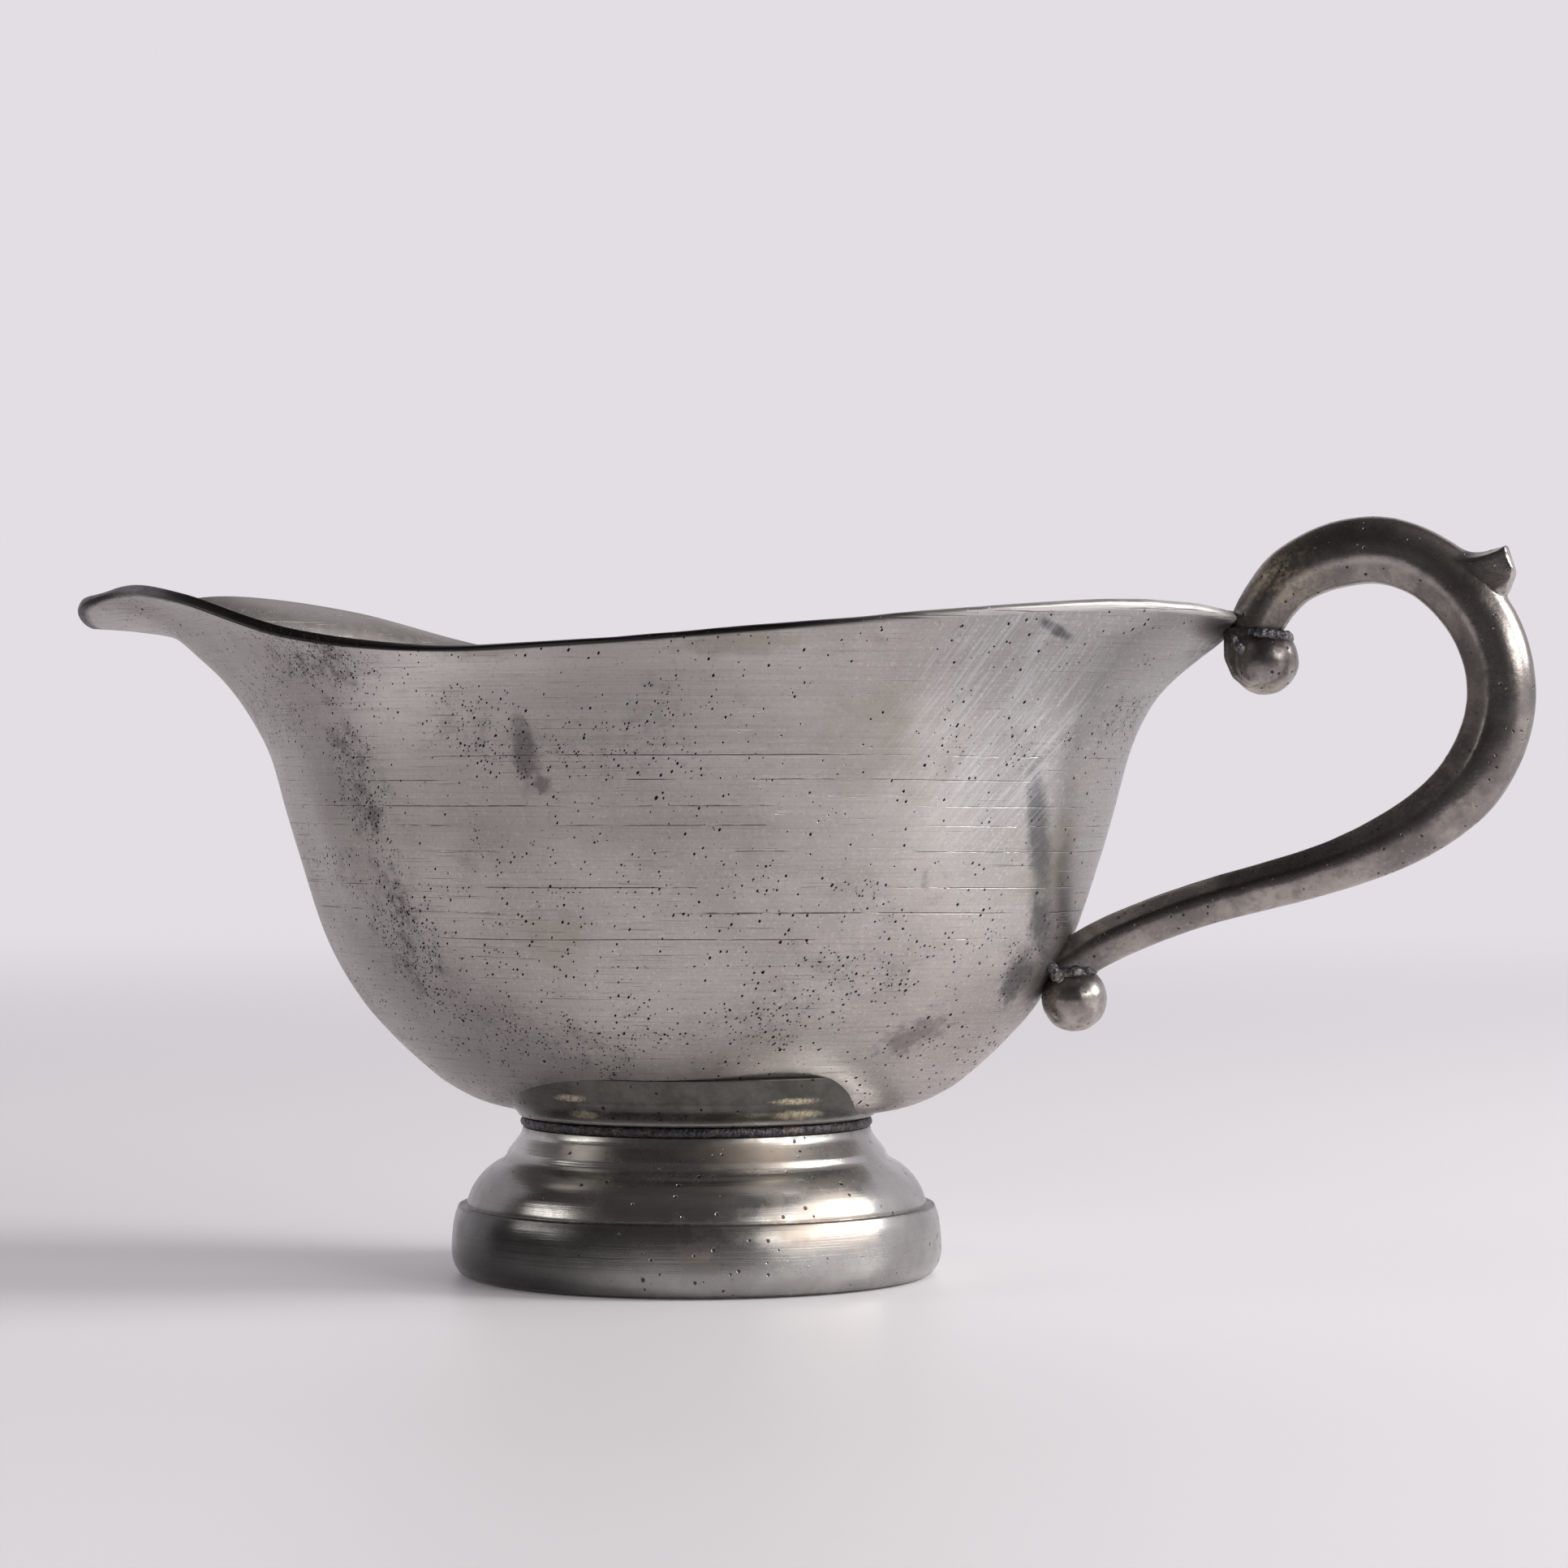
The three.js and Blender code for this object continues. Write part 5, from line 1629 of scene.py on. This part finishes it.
# ------------------------------------------------------------------ studio
@dataclass
class Studio:
    """A pale sweep, a dark ceiling, soft lights and a level camera."""

    axis: float
    floor_colour: Row = (0.90, 0.88, 0.90)
    floor_glow: float = 0.03
    air: Row = (0.79, 0.752, 0.80)
    air_strength: float = 0.97
    floor_radius: float = 12.0
    fade: Row = (0.25, 1.5)
    camera_distance: float = 0.594
    camera_azimuth: float = 15.0
    camera_height: float = 0.0666
    lens: float = 100.62
    curtain: Row = (112, 46)
    table_edge: float = 0.3
    height: float = 1.15
    cloth: Row = (0.075, 0.072, 0.069)
    floor_sides: int = 64

    def build(self) -> None:
        """Sets up everything that isn't part of the boat."""
        self.sweep()
        self.ceiling()
        self.room()
        self.lights()
        self.camera()
        scene = bpy.context.scene
        scene.view_settings.view_transform = "Standard"
        world = bpy.data.worlds.new("pale_room")
        world.use_nodes = True
        back = world.node_tree.nodes["Background"]
        back.inputs[0].default_value = (*self.air, 1)
        back.inputs[1].default_value = self.air_strength
        scene.world = world

    def sweep(self) -> None:
        """A wide round floor that fades into the air behind it."""
        radii = (0.01, 0.4, 2.0, self.floor_radius)
        angle = np.linspace(0, 2 * math.pi, self.floor_sides, endpoint=False)
        rings = np.array([np.stack([r * np.cos(angle), r * np.sin(angle), 0 * angle], -1) for r in radii])
        points = np.vstack([rings.reshape(-1, 3), [[0, 0, 0]]])
        index = np.arange(len(radii) * self.floor_sides).reshape(len(radii), self.floor_sides)
        beside = np.roll(index, -1, 1)
        faces = np.stack([index[:-1], beside[:-1], beside[1:], index[1:]], -1).reshape(-1, 4).tolist()
        faces += [[len(points) - 1, int(b), int(a)] for a, b in zip(beside[0], index[0])]
        floor = self.card("studio_sweep", points.tolist(), faces)
        floor.data.shade_smooth()
        floor.data.materials.append(self.paper())

    @staticmethod
    def card(name: str, points: Sequence[Row], faces: Sequence[Sequence[int]]) -> Object:
        """A piece of the set, with its corners in metres."""
        mesh = bpy.data.meshes.new(name)
        mesh.from_pydata(points, [], faces)
        made = bpy.data.objects.new(name, mesh)
        bpy.context.scene.collection.objects.link(made)
        return made

    def paper(self) -> Material:
        """Pale paper that turns into the air's own glow away from the boat, so no horizon shows.

        Returns:
            The floor's material.
        """
        paper = bpy.data.materials.new("studio_paper")
        paper.use_nodes = True
        shader = paper.node_tree.nodes["Principled BSDF"]
        shader.inputs["Base Color"].default_value = (*self.floor_colour, 1)
        shader.inputs["Roughness"].default_value = 0.42
        shader.inputs["Specular IOR Level"].default_value = 0.25
        shader.inputs["Emission Color"].default_value = (*self.floor_colour, 1)
        shader.inputs["Emission Strength"].default_value = self.floor_glow
        nodes, links = paper.node_tree.nodes, paper.node_tree.links
        place, away = nodes.new("ShaderNodeTexCoord"), nodes.new("ShaderNodeVectorMath")
        fade, haze, blend = (nodes.new(kind) for kind in (
            "ShaderNodeMapRange", "ShaderNodeEmission", "ShaderNodeMixShader"))
        away.operation = "LENGTH"
        fade.interpolation_type = "SMOOTHSTEP"
        fade.inputs["From Min"].default_value, fade.inputs["From Max"].default_value = self.fade
        haze.inputs["Color"].default_value = (*self.air, 1)
        haze.inputs["Strength"].default_value = self.air_strength
        links.new(place.outputs["Object"], away.inputs[0])
        links.new(away.outputs["Value"], fade.inputs["Value"])
        links.new(fade.outputs["Result"], blend.inputs["Fac"])
        links.new(shader.outputs[0], blend.inputs[1])
        links.new(haze.outputs[0], blend.inputs[2])
        links.new(blend.outputs[0], nodes["Material Output"].inputs["Surface"])
        return paper

    def ceiling(self) -> None:
        """A dark card over the set, unseen by the camera, that keeps upward reflections low."""
        half, forward = 1.5, 0.3
        corners = [(self.axis * MM + x * half, y * half - forward, self.height)
                   for x, y in ((-1, -1), (1, -1), (1, 1), (-1, 1))]
        self.darken(self.card("studio_ceiling", corners, [(0, 3, 2, 1)]), True)

    def room(self) -> None:
        """A dark curtain behind the camera, unseen by it, so that shiny faces have depth."""
        front = -90 + self.camera_azimuth
        angle = np.radians(np.linspace(front - self.curtain[0], front + self.curtain[1], 25))
        away, lift = 1.5, 0.002
        rows = ((self.table_edge, lift), (away, lift), (away, self.height))
        points = [(r * math.cos(a) + self.axis * MM, r * math.sin(a), z) for r, z in rows for a in angle]
        count = len(angle)
        faces = [(k + i, k + i + 1, k + count + i + 1, k + count + i)
                 for k in (0, count) for i in range(count - 1)]
        self.darken(self.card("studio_curtain", points, faces), False)

    def darken(self, card: Object, shades: bool) -> None:
        """Makes a stage piece dark; unless it shades the floor, only polished metal sees it."""
        dark = bpy.data.materials.new(card.name + "_cloth")
        dark.use_nodes = True
        dark.node_tree.nodes["Principled BSDF"].inputs["Base Color"].default_value = (*self.cloth, 1)
        card.data.materials.append(dark)
        card.visible_camera = card.visible_transmission = False
        card.visible_diffuse = card.visible_shadow = shades

    def light(self, name: str, at: Row, size: Row, power: float, tint: Row) -> None:
        """A soft rectangular light aimed at the boat; places in metres."""
        lamp = bpy.data.lights.new(name, "AREA")
        lamp.shape, lamp.size, lamp.size_y = "RECTANGLE", size[0], size[1]
        lamp.energy, lamp.color = power, tint
        made = bpy.data.objects.new(name, lamp)
        made.location = at
        aim = Vector((self.axis * MM, 0, 0.05)) - Vector(at)
        made.rotation_euler = aim.to_track_quat("-Z", "Y").to_euler()
        made.visible_camera = False
        bpy.context.scene.collection.objects.link(made)

    def lights(self) -> None:
        """The key on the right, and softer lights in front."""
        self.light("key_right", (1.1, 0.2, 0.62), (0.5, 0.5), 13.0, (1, 0.985, 0.965))
        self.light("side_right", (1.05, -0.5, 0.42), (0.55, 0.28), 4.0, (1, 0.985, 0.96))
        self.light("side_left", (-1.02, -0.42, 0.42), (0.5, 0.16), 1.5, (1, 0.98, 0.94))

    def camera(self) -> None:
        """A level camera a long way off, turned a little towards the handle's side."""
        data = bpy.data.cameras.new("level_camera")
        data.lens, data.sensor_width = self.lens, 36.0
        data.clip_start, data.clip_end = 0.01, 60
        camera = bpy.data.objects.new("level_camera", data)
        turn = math.radians(self.camera_azimuth)
        back = Vector((math.sin(turn), -math.cos(turn), 0))
        target = Vector((self.axis * MM + 0.0123, 0, self.camera_height))
        camera.location = target + back * self.camera_distance
        camera.rotation_euler = (-back).to_track_quat("-Z", "Y").to_euler()
        bpy.context.scene.collection.objects.link(camera)
        bpy.context.scene.camera = camera


# ------------------------------------------------------------------ the whole boat
def main() -> None:
    """Builds the boat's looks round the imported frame."""
    logging.basicConfig(level=logging.INFO, format="%(name)s: %(message)s")
    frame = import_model()
    log.info("frame: %d packed nodes", len(frame["nodes"]))
    foot_low, foot_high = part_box("foot")
    axis = (foot_low.x + foot_high.x) / 2 / MM

    spun = SpunPewter().make(axis)
    turned = TurnedPewter().make(axis, foot_high.z / MM)
    cast = CastPewter().make()
    crust = SolderCrust().make("solder_grainy")
    seam = SolderCrust((0.11, 0.108, 0.112), (0.035, 0.035, 0.04), (0.24, 0.18, 0.14)).make("solder_seam")

    form = BowlForm(axis)
    ride(Bowl(form).build(), Slot.SPUN, spun, "bowl")
    for piece, slot, node in Foot(axis, TurningTree(), form).build(turned, seam):
        ride(piece, slot, turned if slot is Slot.TURNED else seam, node)
    plane, seat = HandlePlane(form), Seat(form)
    ride(Handle(plane, SweepTree()).build(cast, seat), Slot.CAST, cast, "handle")
    balls = Balls(plane, seat)
    ride(balls.upper_ball(), Slot.CAST, cast, "upper_ball")
    ride(balls.lower_ball(), Slot.CAST, cast, "lower_ball")
    for piece, node in balls.solders():
        ride(piece, Slot.SOLDER, crust, node)

    Studio(axis).build()


if __name__ == "__main__":
    main()
